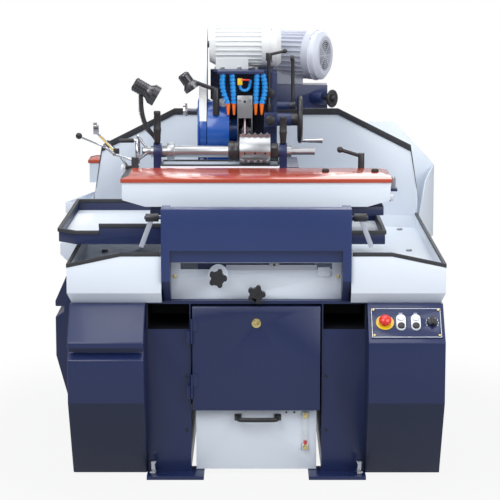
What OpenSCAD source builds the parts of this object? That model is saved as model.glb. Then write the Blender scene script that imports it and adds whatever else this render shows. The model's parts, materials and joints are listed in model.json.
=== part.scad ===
/* [Stand] */
// Spacing of the anchor holes across the machine
anchor_span_x = 592; // [580:1:600]
// Spacing of the anchor holes from front to back
anchor_span_y = 1072; // [1064:1:1080]
// Diameter of an anchor hole
anchor_hole_d = 18; // [14:1:20]
// Thickness of a foot plate
foot_t = 12; // [10:1:16]
// Width of a foot plate
foot_w = 185; // [180:1:200]
// Length of a foot plate from front to back
foot_l = 125; // [110:1:140]
// Diameter of a levelling bolt
bolt_d = 16; // [12:1:18]
// Clear space between the two columns
column_gap = 424; // [418:1:430]
// Width of a column
column_w = 143; // [136:1:150]
// Length of the stand from front to back
stand_l = 1000; // [980:10:1020]
// Height of the deck top
deck_z = 578; // [570:1:586]
// Thickness of the deck
deck_t = 10; // [6:1:14]
// Height of a lifting pocket
pocket_h = 83; // [70:1:95]

/* [Cabinets] */
// Width of a cabinet
cabinet_w = 242; // [230:1:250]
// How far the nose stands out from the stand front
nose_reach = 160; // [140:1:170]
// Height of the nose
nose_z = 473; // [460:1:485]
// Height of the knee where the front slopes back
knee_z = 278; // [250:1:300]
// Height of the cabinet underside
toe_z = 8; // [6:1:20]
// Depth of the grip recess under the nose
recess_d = 30; // [20:1:40]
// Sideways reach of the rear wing
wing_reach = 112; // [100:1:120]

/* [Splash basin] */
// Width of the basin
basin_w = 1210; // [1200:2:1220]
// Height of the basin rim at its corners
basin_z = 704; // [700:1:710]
// Height of the raised front rim
basin_high_z = 741; // [730:1:744]
// Thickness of the sheet metal
sheet_t = 4; // [3:0.5:5]
// Height of the guard wall in the middle
guard_z = 1087; // [1050:1:1110]
// Height of the guard wall at its ends
guard_end_z = 960; // [940:1:980]
// Width of the rubber edging
edging_w = 12; // [9:1:13]

/* [Portal] */
// Width of the front portal
portal_w = 606; // [600:2:612]
// Height of the portal top
portal_z = 885; // [870:1:900]
// Height of the sign face
sign_h = 134; // [120:1:140]
// Width of a portal leg
leg_w = 28; // [24:1:32]
// Diameter of the star knobs
star_d = 60; // [50:1:64]

/* [Door and tank] */
// Width of the centre door
door_w = 412; // [400:2:416]
// Height of the door underside
door_z = 219; // [210:1:230]
// Width of the coolant tank
tank_w = 392; // [380:2:396]
// Length of the coolant tank
tank_l = 640; // [600:10:700]

/* [Carriage] */
// Height of the tray floor
tray_z = 745; // [742:1:750]
// Height of the tray wall
tray_h = 45; // [35:1:55]
// Length of the tray to the left of the middle
tray_left = 650; // [640:1:660]
// Length of the tray to the right of the middle
tray_right = 420; // [410:1:430]
// Height of the saddle top
saddle_z = 858; // [854:1:862]
// Length of the slide cover
cover_l = 880; // [860:2:900]
// Width of the slide cover
cover_w = 256; // [250:1:258]
// Height of the side walls of the cover
cover_wall_h = 80; // [74:1:86]
// Thickness of the cap lip
cap_h = 12; // [10:1:16]

/* [Arbor] */
// Height of the arbor axis
arbor_z = 1006; // [1000:1:1012]
// Place of the arbor axis from front to back
arbor_y = -10; // [-12:1:-8]
// Diameter of the arbor
arbor_d = 40; // [36:1:44]
// Radius of the cutterhead body
head_r = 60; // [56:1:66]
// Width of the cutterhead
head_w = 105; // [96:1:108]
// How far the knives stand out of the cutterhead
knife_out = 13; // [10:1:14]
// Number of knives
knives = 4; // [2:1:6]
// Rim diameter of the arbor handwheel
crank_wheel_d = 117; // [110:1:122]

/* [Grinding head] */
// Place of the wheel axis from front to back
wheel_y = 235; // [230:1:240]
// Height of the wheel axis
wheel_z = 1055; // [1050:1:1060]
// Diameter of the grinding wheel
wheel_d = 210; // [190:2:220]
// Thickness of the grinding wheel
wheel_t = 6; // [4:1:8]
// Diameter of the drum housing
drum_d = 220; // [214:1:224]
// Diameter of the first motor
motor_d = 160; // [150:1:164]
// Height of the first motor axis
motor_z = 1355; // [1352:1:1362]
// Diameter of the second motor
motor2_d = 175; // [166:1:180]
// Rim diameter of the infeed handwheel
handwheel_d = 168; // [160:2:170]

/* [Hidden] */
$fn = 48;

// Clearances shared by all pieces
run_gap = 0.05;
slide_gap = 0.4;
cut = 1;

// Stand
front_y = -stand_l / 2;
back_y = stand_l / 2;
column_in = column_gap / 2;
column_out = column_in + column_w;
deck_low = deck_z - deck_t;
foot_in = column_out - foot_w;
foot_lip = 29;
foot_edge_y = anchor_span_y / 2 + foot_lip;
bolt_inset = 21;
bolt_x = column_out - bolt_inset;
bolt_y = anchor_span_y / 2;
bolt_head_h = 10;
bolt_stand = 46;
nut_h = 13;
hex_ratio = 0.83;
pocket_wall = 4;
pocket_depth = 260;
rear_web_t = 20;

// Cabinets
cabinet_in = column_out;
cabinet_out = cabinet_in + cabinet_w;
cabinet_z = deck_z;
ledge = 48;
toe_in = 5;
band_h = 19;
recess_h = 37;
wing_y = 42;
wing_rise = 29;
wing_z = deck_z + wing_rise;
nose_y = front_y - nose_reach;
wing_reach_in = 4;

// Basin
basin_x = basin_w / 2;
basin_lip = 54;
basin_front_y = front_y - basin_lip;
basin_low = cabinet_z;
basin_chamfer = 35;
basin_chamfer_x = 13;
basin_chamfer_y = 24;
basin_back_y = 578;
basin_rear_y = 700;
basin_rear_x = 310;
basin_floor = 646;
high_x = 432;
well_x = 305;
well_lip = 32;
drain_d = 30;
guard_end_x = 578;
head_opening_left = 190;
head_opening_right = 75;
outer_guard_x = 678;
outer_guard_y = 750;
outer_guard_z = 1035;
outer_guard_drop_z = 873;
outer_guard_flat_x = 526;
outer_guard_low = 595;
edging_cover = 4;
edging_depth = 9;
bay_x = 684;
bay_step_x = 653;
bay_low_z = wing_z;
bay_mid_z = 640;
bay_top_z = 679;

// Portal
portal_x = portal_w / 2;
portal_reach = 64;
portal_front_y = front_y - portal_reach;
sign_depth = 58;
portal_back = 40;
portal_back_y = front_y + portal_back;
sign_z = portal_z - sign_h;
beam_z = 710;
beam_set = 24;
leg_knee_z = 652;
leg_toe_in = 7;
panel_y = front_y + well_lip;
panel_t = 5;
panel_top_z = 706;
slot_x = 245;
slot_low_z = 653;
slot_top_z = 696;
rail_low_z = 649;
rail_h = 23;
rail_t = 14;
stop_knob_x = -123;
stop_knob_z = rail_low_z + rail_h / 2;
stop_knob_y = portal_front_y;
panel_knob_z = 602;
knob_t = 26;
knob_boss_d = 64;
knob_boss_t = 26;
stud_d = 12;
panel_knob_out = 34;
panel_knob_y = panel_y - panel_knob_out;
lever_pin_d = 12;
lever_pin_l = 56;
lever_hub_d = 26;
lever_hub_l = 42;
lever_hub_z = 847;
lever_hub_back = 14;
lever_hub_y = front_y + lever_hub_back;
lever_bar_w = 16;
lever_bar_t = 8;
lever_foot_x = 370;
lever_foot_z = 752;
lever_hub_start = 10;

// Door and tank
door_t = 16;
door_top_gap = 6;
door_top_z = deck_low - door_top_gap;
door_front_y = front_y - door_t;
hinge_d = 10;
hinge_l = 40;
hinge_x = -(door_w / 2 + column_in) / 2;
hinge_y = door_front_y - hinge_d / 2 - slide_gap;
hinge_places = [door_z + hinge_l, door_top_z - 3 * hinge_l];
lock_d = 30;
lock_z = 508;
lock_t = 7;
tank_set = 20;
tank_face_y = front_y + tank_set;
tank_low = 52;
tank_top = 214;
tank_wall = 3;
tank_apron_low = 14;
caster_d = 36;
caster_w = 18;
caster_inset = 60;
tank_handle_l = 130;
tank_handle_reach = 42;
tank_handle_t = 14;
tank_handle_x = 5;
tank_handle_z = 188;
gauge_x = 160;
gauge_w = 26;
gauge_low = 77;
gauge_h = 132;
gauge_t = 14;
gauge_bolt_d = 12;

// Control panel
slope_rise = cabinet_z - nose_z;
slope_run = nose_reach - ledge;
slope_angle = atan2(slope_rise, slope_run);
slope_l = sqrt(slope_rise * slope_rise + slope_run * slope_run);
plate_edge = 8;
plate_w = cabinet_w - plate_edge * 2;
plate_share = 0.77;
plate_h = slope_l * plate_share;
plate_t = 3;
panel_x = cabinet_in + cabinet_w / 2;
estop_x = -68;
estop_ring_d = 57;
estop_ring_t = 2;
estop_cap_d = 40;
estop_neck_d = 26;
estop_neck_h = 12;
estop_cap_h = 16;
push_x = -17;
push_pitch = 47;
push_w = 30;
push_l = 60;
push_bezel_t = 5;
push_d = 22;
push_h = 7;
push_travel = 3;
selector_x = 82;
selector_d = 28;
selector_h = 18;
selector_pin_d = 8;
pointer_w = 8;
hole_depth = 8;

// Bed and saddle
bed_x = 190;
bed_front_y = -430;
bed_back_y = 110;
bed_z = 690;
rail_x = 140;
rail_w = 22;
cross_rail_h = 20;
pedestal_left = 190;
pedestal_right = 150;
pedestal_front_y = 165;
pedestal_back_y = 480;
pedestal_z = 880;
block_w = 64;
block_l = 60;
block_lap = 12;
block_h = tray_z - bed_z - cross_rail_h + block_lap;
saddle_front_y = -310;
saddle_back_y = -100;
saddle_body_x = 220;
saddle_left = 350;
saddle_right = 420;
saddle_flange_h = 30;
tray_front_y = -393;
tray_back_y = 360;
tray_mid_back_y = 100;
tray_step_x = -215;
tray_t = 4;
tray_high_z = 813;
tray_high_left = 513;
tray_high_right = 303;
tray_corner = 60;
x_rail_l = 600;
x_rail_w = 20;
x_rail_h = 18;
cover_front_y = -340;
x_rail_set = 46;
x_rail_front_y = cover_front_y + x_rail_set;
cover_back_y = cover_front_y + cover_w;
x_rail_back_y = cover_back_y - x_rail_set;
cover_low = saddle_z + 3;
cover_top = cover_low + cover_wall_h;
cover_t = 3;
cover_corner_z = 22;
cover_corner_x = 75;
cap_bevel_h = 8;
cap_bevel_in = 26;
cap_lip = 5;
table_low = 900;
table_t = 24;
table_block_x = 110;
table_block_l = 60;
table_block_w = 50;
arm_left_x = -339;
arm_right_x = 92;
arm_t = 26;
arm_w = 50;
arm_over = 25;
arm_top = arbor_z + arm_over;
beam_low = 884;
beam_h = 32;
beam_left = -352;
beam_right = 385;
beam_back_y = -24;
grip_d = 24;
grip_left_l = 110;
grip_right_l = 90;
grip_stud_d = 10;
flutes = 10;
flute_d = 5;

// Arbor
arbor_left = -362;
arbor_mid_right = 120;
arbor_thin_d = 24;
arbor_right = 201;
flange_x = -305;
flange_t = 24;
flange_d = 60;
collar_x = -96;
collar_w = 39;
collar_d = 72;
head_x = -57;
nut_w = 27;
nut_d = 58;
crank_wheel_x = -407;
crank_rim_d = 11;
crank_hub_l = 34;
crank_hub_d = 28;
crank_grip_d = 15;
crank_grip_l = 51;
crank_dish = 18;
spokes = 3;
spoke_d = 9;
knife_t = 8;
knife_teeth = 5;
knife_tooth_share = 0.45;
knife_seat = 14;
gib_d = 7;
gib_h = 3;
gibs = 3;

// Drip tray
drip_left = -326;
drip_right = 79;
drip_front_y = -80;
drip_back_y = 60;
drip_low = beam_low + beam_h;
drip_h = 47;
drip_t = 3;

// Feed lever
feed_x = -411;
feed_y = -100;
feed_z = 985;
feed_post_w = 24;
feed_eye_d = 22;
feed_pin_d = 8;
feed_rod_d = 9;
feed_ball_d = 22;
feed_reach = 189;
feed_rise = 84;
feed_start_share = 0.11;
feed_bend_x_shares = [0.37, 0.55];
feed_bend_z_shares = [0.25, 0.58];

// Head
slide_z = pedestal_z + slide_gap;
slide_plate_h = 50;
slide_key_w = 60;
slide_key_h = 14;
casting_x = 27;
casting_w = 46;
casting_front_y = 188;
motor_plate_z = 1262;
casting_top = motor_plate_z;
column_left = -165;
column_right = 60;
column_front_y = 352;
column_back_y = 470;
column_top_back_y = 385;
motor_plate_mid_y = 215;
motor_plate_t = 9;
motor_plate_left = -150;
motor_plate_right = 60;
motor_plate_front_y = 124;
drum_left = -172;
drum_right = -95;
drum_nose_d = 80;
drum_nose_l = 29;
spindle_d = 30;
ring_d = 232;
ring_left = -206;
guard_left = -66;
guard_right = -14;
guard_t = 3;
guard_front_y = 118;
guard_back_y = 346;
guard_top_z = 1187;
guard_low_z = 1027;
guard_plate_low_z = 1108;
belt_left = -201;
belt_w = 27;
belt_wall = 3;
belt_low_d = 212;
belt_top_d = 130;
pulley_w = 16;
pulley_d = 120;
motor_pulley_d = 80;
belt_t = 6;
belt_gap = 0.4;
motor_y = 300;
motor_left = -166;
motor_right = 88;
motor_bell_l = 23;
motor_cowl_l = 69;
fin_h = 9;
fin_t = 3;
fins = 28;
motor_shaft_d = 24;
motor2_x = 250;
motor2_y = 410;
motor2_z = 1308;
motor2_l = 260;
motor2_yaw = -25;
motor2_cowl_l = 62;
bracket_x = 82;
bracket_l = 175;
bracket_low = 1120;
bracket_t = 84;
bracket_front_y = 372;
hose_y = 138;
hose_bead_d = 20;
hose_neck_d = 14;
hose_pitch = 13;
hose_top_z = motor_plate_z;
hose_beads = 8;
hose_top_xs = [-116, -84, 3, 23];
hose_tip_xs = [-98.5, -77.5, -2.5, 19];
hose_bow = 9;
hose_bow_shares = [-1, 0, 0, 1];
nozzle_l = 40;
nozzle_d = 16;
nozzle_tip_d = 8;
wheel_x = -40;
wheel_collar_d = 90;
wheel_collar_t = 8;
spindle_nose = -20;
hand_x = 153;
hand_y = 142;
hand_z = 1102;
hand_shaft_d = 22;
hand_rim_d = 17;
hand_hub_d = 44;
hand_hub_l = 30;
hand_handle_l = 72;
hand_handle_d = 18;
hand_boss_d = 46;
hand_spokes = 3;
long_x = 135;
long_y = 205;
long_low_z = 1144;
long_rod_d = 13;
long_l = 168;
long_eye_d = 22;
long_boss_d = 30;
long_boss_l = 62;
top_clamp_x = 44;
top_clamp_y = 172;
right_clamp_x = 358;
lamp_neck_d = 17;
lamp_set = 16;
lamp_foot_z = arbor_z + arm_w * 0.6;
grip_set = 10;
grip_stud_up = 8;
grip_y = arbor_y - grip_set;
lamp_y = arbor_y + lamp_set;
lamp_x = -343;
lamp_rise = 164;
lamp_neck_x_shares = [0, -0.22, -0.32, -0.32];
lamp_neck_z_shares = [0.08, 0.3, 0.65, 1];
lamp_head_l = 92;
lamp_back_d = 50;
lamp_front_d = 72;
lamp_tilt = 120;
lamp2_x = -141;
lamp2_base_d = 26;
lamp2_base_h = 52;
lamp2_arm_l = 106;
lamp2_arm_rise = 30;
lamp2_head_l = 56;
lamp2_back_d = 42;
lamp2_front_d = 56;

// Block between two corners
module block(x0, x1, y0, y1, z0, z1) {
    translate([x0, y0, z0]) cube([x1 - x0, y1 - y0, z1 - z0]);
}

// Outline in X and Z, extruded from y0 to y1
module front_cut(y0, y1, points) {
    translate([0, y1, 0]) rotate([90, 0, 0]) linear_extrude(y1 - y0) polygon(points);
}

// Outline in Y and Z, extruded from x0 to x1
module side_cut(x0, x1, points) {
    translate([x0, 0, 0]) rotate([90, 0, 90]) linear_extrude(x1 - x0) polygon(points);
}

module rod_x(x0, x1, y, z, d) {
    translate([x0, y, z]) rotate([0, 90, 0]) cylinder(h = x1 - x0, d = d);
}

module rod_y(x, y0, y1, z, d) {
    translate([x, y1, z]) rotate([90, 0, 0]) cylinder(h = y1 - y0, d = d);
}

module rod_z(x, y, z0, z1, d) {
    translate([x, y, z0]) cylinder(h = z1 - z0, d = d);
}

// Round bar between two points
module bar(a, b, d) {
    v = b - a;
    l = norm(v);
    translate(a) rotate([0, acos(v[2] / l), atan2(v[1], v[0])]) cylinder(h = l, d = d);
}

module mirror_pair() {
    children();
    mirror([1, 0, 0]) children();
}

module four_corners() {
    for (sx = [0, 1], sy = [0, 1]) mirror([sx, 0, 0]) mirror([0, sy, 0]) children();
}

// Stand
module base_frame() {
    color("midnightblue") {
        mirror_pair() difference() {
            block(column_in, column_out, front_y, back_y, foot_t, deck_low);
            for (side = [0, 1]) mirror([0, side, 0])
                block(column_in + pocket_wall, column_out - pocket_wall, front_y - cut,
                    front_y + pocket_depth, deck_low - pocket_h, deck_low + cut);
        }
        block(-column_out, column_out, front_y, back_y, deck_low, deck_z);
        block(-column_in, column_in, back_y - rear_web_t, back_y, foot_t, deck_low);
        for (z = hinge_places) {
            rod_z(hinge_x, hinge_y, z, z + hinge_l, hinge_d);
            block(hinge_x - hinge_d * 1.6, hinge_x - hinge_d / 4, hinge_y, front_y, z, z + hinge_l);
        }
    }
}

module foot_plates() {
    color("midnightblue") four_corners() difference() {
        block(foot_in, column_out, foot_edge_y - foot_l, foot_edge_y, 0, foot_t);
        rod_z(anchor_span_x / 2, anchor_span_y / 2, -cut, foot_t + cut, anchor_hole_d);
        rod_z(bolt_x, bolt_y, -cut, foot_t + cut, bolt_d + 2 * run_gap);
    }
}

module level_bolts() {
    color("silver") four_corners() {
        rod_z(bolt_x, bolt_y, 0, foot_t + bolt_stand, bolt_d);
        translate([bolt_x, bolt_y, foot_t]) cylinder(h = nut_h, d = bolt_d / hex_ratio * 1.3, $fn = 6);
        translate([bolt_x, bolt_y, foot_t + bolt_stand - bolt_head_h])
            cylinder(h = bolt_head_h, d = bolt_d / hex_ratio * 1.3, $fn = 6);
    }
}

// Side outline of a cabinet, with or without the grip recess
function cabinet_outline(recess, y_back) = concat(
    [[y_back, cabinet_z], [front_y - ledge, cabinet_z], [nose_y, nose_z], [nose_y, nose_z - band_h]],
    recess ? [[nose_y + recess_d, nose_z - band_h], [nose_y + recess_d, nose_z - band_h - recess_h / 2],
        [nose_y, nose_z - band_h - recess_h]] : [],
    [[nose_y, knee_z], [front_y - toe_in, toe_z], [y_back, toe_z]]);

module left_cabinet() {
    color("midnightblue") difference() {
        union() {
        side_cut(-cabinet_out, -cabinet_in, cabinet_outline(true, wing_y));
        front_cut(wing_y, back_y, [[-cabinet_in, toe_z], [-cabinet_out - wing_toe, toe_z],
            [-wing_edge, knee_z], [-wing_edge, nose_z - band_h - recess_h],
            [-wing_edge + recess_d, nose_z - band_h - recess_h / 2],
            [-wing_edge + recess_d, nose_z - band_h], [-wing_edge, nose_z - band_h],
            [-wing_edge, nose_z], [-cabinet_out - ledge, wing_z], [-basin_x - slide_gap, wing_z],
            [-basin_x - slide_gap, cabinet_z], [-cabinet_in, cabinet_z]]);
        }
        block(-cabinet_out + cabinet_wall, -cabinet_in - cabinet_wall, front_y + cabinet_wall,
            back_y - cabinet_wall, 0, nose_z - cabinet_wall);
    }
}
wing_edge = cabinet_out + wing_reach - wing_reach_in;
wing_toe = 35;
cabinet_wall = 12;

module right_cabinet() {
    color("midnightblue") difference() {
        side_cut(cabinet_in, cabinet_out, cabinet_outline(false, back_y));
        block(cabinet_in + cabinet_wall, cabinet_out - cabinet_wall, front_y + cabinet_wall,
            back_y - cabinet_wall, 0, nose_z - cabinet_wall);
        on_panel() {
            translate([estop_x, 0, -hole_depth]) cylinder(h = hole_depth + cut, d = estop_neck_d + 2 * slide_gap);
            translate([selector_x, 0, -hole_depth]) cylinder(h = hole_depth + cut, d = selector_pin_d + 2 * run_gap);
        }
    }
}

// Frame on the slanted panel: X along it, Y up the slope, Z out of it
module on_panel() {
    translate([panel_x, nose_y + slope_run / 2, nose_z + slope_rise / 2])
        rotate([slope_angle, 0, 0]) children();
}

module oval(w, l, h) {
    linear_extrude(h) union() {
        for (side = [-1, 1]) translate([0, side * (l - w) / 2]) circle(d = w);
        square([w, l - w], center = true);
    }
}

module control_plate() {
    on_panel() difference() {
        union() {
            color("white") translate([-plate_w / 2, -plate_h / 2, run_gap])
                cube([plate_w, plate_h, plate_t - run_gap]);
            color("yellow") translate([estop_x, 0, plate_t]) cylinder(h = estop_ring_t, d = estop_ring_d);
            color("white") for (i = [0, 1])
                translate([push_x + i * push_pitch, 0, plate_t]) oval(push_w, push_l, push_bezel_t);
        }
        for (i = [0, 1], side = [-1, 1])
            translate([push_x + i * push_pitch, side * push_l / 4, -cut])
                cylinder(h = plate_t + push_bezel_t + 2 * cut, d = push_d + 2 * slide_gap);
        translate([estop_x, 0, -cut])
            cylinder(h = plate_t + estop_ring_t + 2 * cut, d = estop_neck_d + 2 * slide_gap);
        translate([selector_x, 0, -cut])
            cylinder(h = plate_t + 2 * cut, d = selector_pin_d + 2 * run_gap);
    }
}

module estop_button() {
    color("red") on_panel() translate([estop_x, 0, 0]) {
        cylinder(h = plate_t + estop_neck_h, d = estop_neck_d);
        translate([0, 0, plate_t + estop_neck_h]) intersection() {
            cylinder(h = estop_cap_h, d = estop_cap_d);
            translate([0, 0, -estop_cap_h / 2]) sphere(d = estop_cap_d * 1.2);
        }
    }
}

// One round push button of a double station
module push_button(i, side) {
    on_panel() translate([push_x + i * push_pitch, side * push_l / 4, push_travel])
        cylinder(h = plate_t + push_h, d = push_d);
}

module left_start_button() { color("white") push_button(0, 1); }
module left_stop_button() { color("black") push_button(0, -1); }
module right_start_button() { color("white") push_button(1, 1); }
module right_stop_button() { color("black") push_button(1, -1); }

module selector_knob() {
    color("black") on_panel() translate([selector_x, 0, 0]) {
        translate([0, 0, plate_t + slide_gap]) cylinder(h = selector_h / 2, d = selector_d);
        translate([-pointer_w / 2, -selector_d / 2, plate_t + slide_gap])
            cube([pointer_w, selector_d, selector_h]);
        translate([0, 0, -hole_depth + run_gap]) cylinder(h = plate_t + hole_depth + slide_gap, d = selector_pin_d);
    }
}

// Basin outlines, with the sheet wall taken off by inset and the rim lifted by lift
function basin_xz(inset, lift) = [
    [-basin_x + basin_chamfer_x + inset, basin_low], [basin_x - basin_chamfer_x - inset, basin_low],
    [basin_x - inset, basin_low + basin_chamfer], [basin_x - inset, basin_z + lift],
    [high_x, basin_high_z + lift], [-high_x, basin_high_z + lift],
    [-basin_x + inset, basin_z + lift], [-basin_x + inset, basin_low + basin_chamfer]];

function basin_yz(inset) = [
    [basin_front_y + basin_chamfer_y + inset, basin_low], [basin_rear_y - inset, basin_low],
    [basin_rear_y - inset, guard_z + basin_chamfer], [basin_front_y + inset, guard_z + basin_chamfer],
    [basin_front_y + inset, basin_low + basin_chamfer]];

function basin_plan(inset) = [
    [-basin_x + inset, basin_front_y + inset], [basin_x - inset, basin_front_y + inset],
    [basin_x - inset, basin_back_y - inset * 0.4], [basin_rear_x - inset * 0.4, basin_rear_y - inset],
    [-basin_rear_x + inset * 0.4, basin_rear_y - inset], [-basin_x + inset, basin_back_y - inset * 0.4]];

module basin_solid(inset, lift) {
    intersection() {
        front_cut(basin_front_y - cut, basin_rear_y + cut, basin_xz(inset, lift));
        side_cut(-basin_x - cut, basin_x + cut, basin_yz(inset));
        translate([0, 0, basin_low]) linear_extrude(guard_z) polygon(basin_plan(inset));
    }
}

// Room in the basin for the portal and the bed
module basin_well(grow) {
    block(-portal_x - grow, portal_x + grow, basin_front_y - edging_w, portal_back_y + grow,
        basin_low - cut, guard_z);
    block(-well_x, well_x, front_y, back_y, basin_low - cut, basin_floor + sheet_t + cut);
}

module splash_basin() {
    color("aliceblue") difference() {
        union() {
            difference() {
                basin_solid(0, -edging_depth);
                difference() {
                    translate([0, 0, sheet_t]) basin_solid(sheet_t, edging_w);
                    block(-basin_x, basin_x, basin_front_y, basin_rear_y, basin_floor, basin_floor + sheet_t);
                }
                block(-basin_x + basin_chamfer_x + sheet_t, basin_x - basin_chamfer_x - sheet_t,
                    basin_front_y + basin_chamfer_y + sheet_t, basin_back_y - sheet_t, basin_low - cut,
                    basin_low + sheet_t + cut);
            }
            front_cut(wing_y, back_y, [[-basin_x, bay_low_z], [-bay_step_x, bay_low_z], [-bay_x, bay_mid_z],
                [-bay_x, bay_top_z], [-basin_x, bay_top_z]]);
        }
        basin_well(0);
        block(-basin_x - cut, basin_x + cut, basin_back_y - sheet_t, basin_rear_y + cut, basin_z - edging_depth,
            guard_z);
        rod_z(-drain_x, drain_y, basin_floor - cut, basin_floor + sheet_t + cut, drain_d);
        rod_z(drain_x, drain_y, basin_floor - cut, basin_floor + sheet_t + cut, drain_d);
    }
}
drain_x = 520;
drain_y = -380;

// Guard wall outline seen from the front
function guard_xz(lift) = [
    [-basin_x - edging_w, basin_z], [-guard_end_x, guard_end_z + lift], [-basin_rear_x, guard_z + lift],
    [basin_rear_x, guard_z + lift], [guard_end_x, guard_end_z + lift], [basin_x + edging_w, basin_z]];

module guard_shell(grow) {
    difference() {
        translate([0, 0, basin_z - edging_depth]) linear_extrude(guard_z) difference() {
            polygon(basin_plan(-grow));
            polygon(basin_plan(sheet_t + grow));
        }
        block(-basin_x - edging_w, basin_x + edging_w, basin_front_y - edging_w, basin_back_y - sheet_t,
            basin_low, guard_z * 2);
        block(-head_opening_left, head_opening_right, basin_back_y, basin_rear_y + edging_w, basin_low,
            guard_z * 2);
    }
}

module guard_walls() {
    intersection() {
        guard_shell(0);
        front_cut(basin_back_y - sheet_t, basin_rear_y + cut, concat(guard_xz(-edging_depth),
            [[basin_x, basin_low], [-basin_x, basin_low]]));
    }
}

// Outer guard sheet on the right, bent once at its far corner
module outer_guard() {
    bend_x = outer_guard_x;
    slant = atan2(outer_guard_y - basin_back_y, bend_x - basin_x);
    run = norm([outer_guard_y - basin_back_y, bend_x - basin_x]);
    translate([basin_x, basin_back_y, 0]) rotate([0, 0, slant]) front_cut(-sheet_t, 0,
        [[0, basin_low], [run, outer_guard_low], [run, outer_guard_drop_z],
            [run * 0.45, outer_guard_drop_z - run * 0.3], [0, outer_guard_drop_z - run * 1.1]]);
    front_cut(outer_guard_y, outer_guard_y + sheet_t,
        [[basin_rear_x, outer_guard_low], [bend_x, outer_guard_low], [bend_x, outer_guard_drop_z],
            [outer_guard_flat_x, outer_guard_z], [basin_rear_x, outer_guard_z]]);
    block(basin_rear_x - sheet_t, basin_rear_x, basin_rear_y, outer_guard_y + sheet_t,
        outer_guard_low, outer_guard_z);
}

module splash_guard() {
    color("aliceblue") {
        guard_walls();
        outer_guard();
    }
}

// Rubber edging: a channel along every rim
module rubber_edging() {
    color("dimgray") {
        difference() {
            basin_solid(-edging_cover, edging_w - edging_depth);
            translate([0, 0, -edging_w * 2]) basin_solid(-edging_cover - cut, edging_w - edging_depth + edging_w);
            basin_solid(sheet_t + edging_cover, guard_z);
            splash_basin();
            basin_well(edging_cover);
            block(-basin_x - edging_w, basin_x + edging_w, basin_back_y - sheet_t, basin_rear_y + edging_w,
                basin_low, guard_z * 2);
        }
        difference() {
            intersection() {
                guard_shell(edging_cover);
                front_cut(basin_back_y - edging_w, basin_rear_y + edging_w, concat(
                    guard_xz(edging_w - edging_depth),
                    [for (i = [5:-1:0]) guard_xz(-edging_w - edging_depth)[i]]));
            }
            guard_walls();
        }
    }
}

// Front portal
module portal() {
    color("midnightblue") {
        block(-portal_x, portal_x, portal_front_y, portal_front_y + sign_depth, sign_z, portal_z);
        block(-portal_x + leg_w, portal_x - leg_w, portal_front_y + beam_set,
            portal_front_y + sign_depth, beam_z, sign_z);
        mirror_pair() intersection() {
            side_cut(portal_x - leg_w, portal_x, [[portal_front_y, sign_z], [portal_back_y, sign_z],
                [portal_back_y, deck_z], [front_y, deck_z], [portal_front_y, leg_knee_z]]);
            front_cut(portal_front_y, portal_back_y, [[portal_x - leg_w, sign_z], [portal_x, sign_z],
                [portal_x, leg_knee_z], [portal_x - leg_toe_in, deck_z], [portal_x - leg_w, deck_z]]);
        }
        mirror_pair() rod_x(portal_x, portal_x + lever_pin_l, lever_hub_y, lever_hub_z, lever_pin_d);
        mirror_pair() block(portal_x - leg_w, portal_x, portal_front_y + sign_depth,
            lever_hub_y + lever_hub_d / 2, lever_hub_z - lever_hub_d / 2, portal_z);
    }
}

module slotted_panel() {
    color("aliceblue") difference() {
        block(-portal_x + leg_w, portal_x - leg_w, panel_y, panel_y + panel_t, deck_z, panel_top_z);
        block(-slot_x, slot_x, panel_y - cut, panel_y + panel_t + cut, slot_low_z, slot_top_z);
        rod_y(0, panel_y - cut, panel_y + panel_t + cut, panel_knob_z, stud_d + 2 * run_gap);
    }
    stop_rail();
}

// Stop rail behind the slot with its bracket, pin, end block and clamp boss
module stop_rail() {
    rail_y = panel_y + panel_t;
    color("slategray") difference() {
        block(-slot_x - rail_t, slot_x + rail_t, rail_y, rail_y + rail_t, rail_low_z, rail_low_z + rail_h);
        rod_y(stop_knob_x, rail_y - cut, rail_y + rail_t + cut, stop_knob_z, stud_d + 2 * run_gap);
    }
    color("silver") difference() {
        rod_y(stop_knob_x, panel_y - knob_boss_t, panel_y, stop_knob_z, knob_boss_d);
        rod_y(stop_knob_x, panel_y - knob_boss_t - cut, panel_y + cut, rail_low_z + rail_h / 2,
            stud_d + 2 * run_gap);
    }
    color("silver") block(stop_block_x, stop_block_x + rail_h * 2, rail_y + rail_t, rail_y + rail_t * 2,
        rail_low_z, rail_low_z + rail_h * 1.4);
    color("black") block(slot_x - rail_h * 2, slot_x - rail_t / 2, rail_y - rail_t, rail_y, rail_low_z + panel_t,
        rail_low_z + rail_h * 1.4);
}
stop_block_x = 20;

// Knob with lobes round a hub, facing the front
module star_knob(x, y, z, d, t, lobes, stud_end) {
    difference() {
        union() {
            rod_y(x, y, y + t, z, d * 0.72);
            for (i = [0:lobes - 1]) translate([x, 0, z]) rotate([0, i * 360 / lobes, 0])
                rod_y(d * 0.36, y, y + t, 0, d * 0.28);
        }
        rod_y(x, y - cut, y + cut, z, d * 0.3);
    }
    rod_y(x, y + t, y + t + cut, z, d * 0.4);
    rod_y(x, y + t, stud_end, z, stud_d);
}

module travel_stop_knob() {
    color("black") star_knob(stop_knob_x, stop_knob_y, rail_low_z + rail_h / 2, star_d, knob_t, 5,
        panel_y + panel_t + rail_t);
}

module panel_knob() {
    color("black") star_knob(0, panel_knob_y - knob_t, panel_knob_z, star_d, knob_t, 5,
        panel_y + panel_t + rail_t);
}

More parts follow.
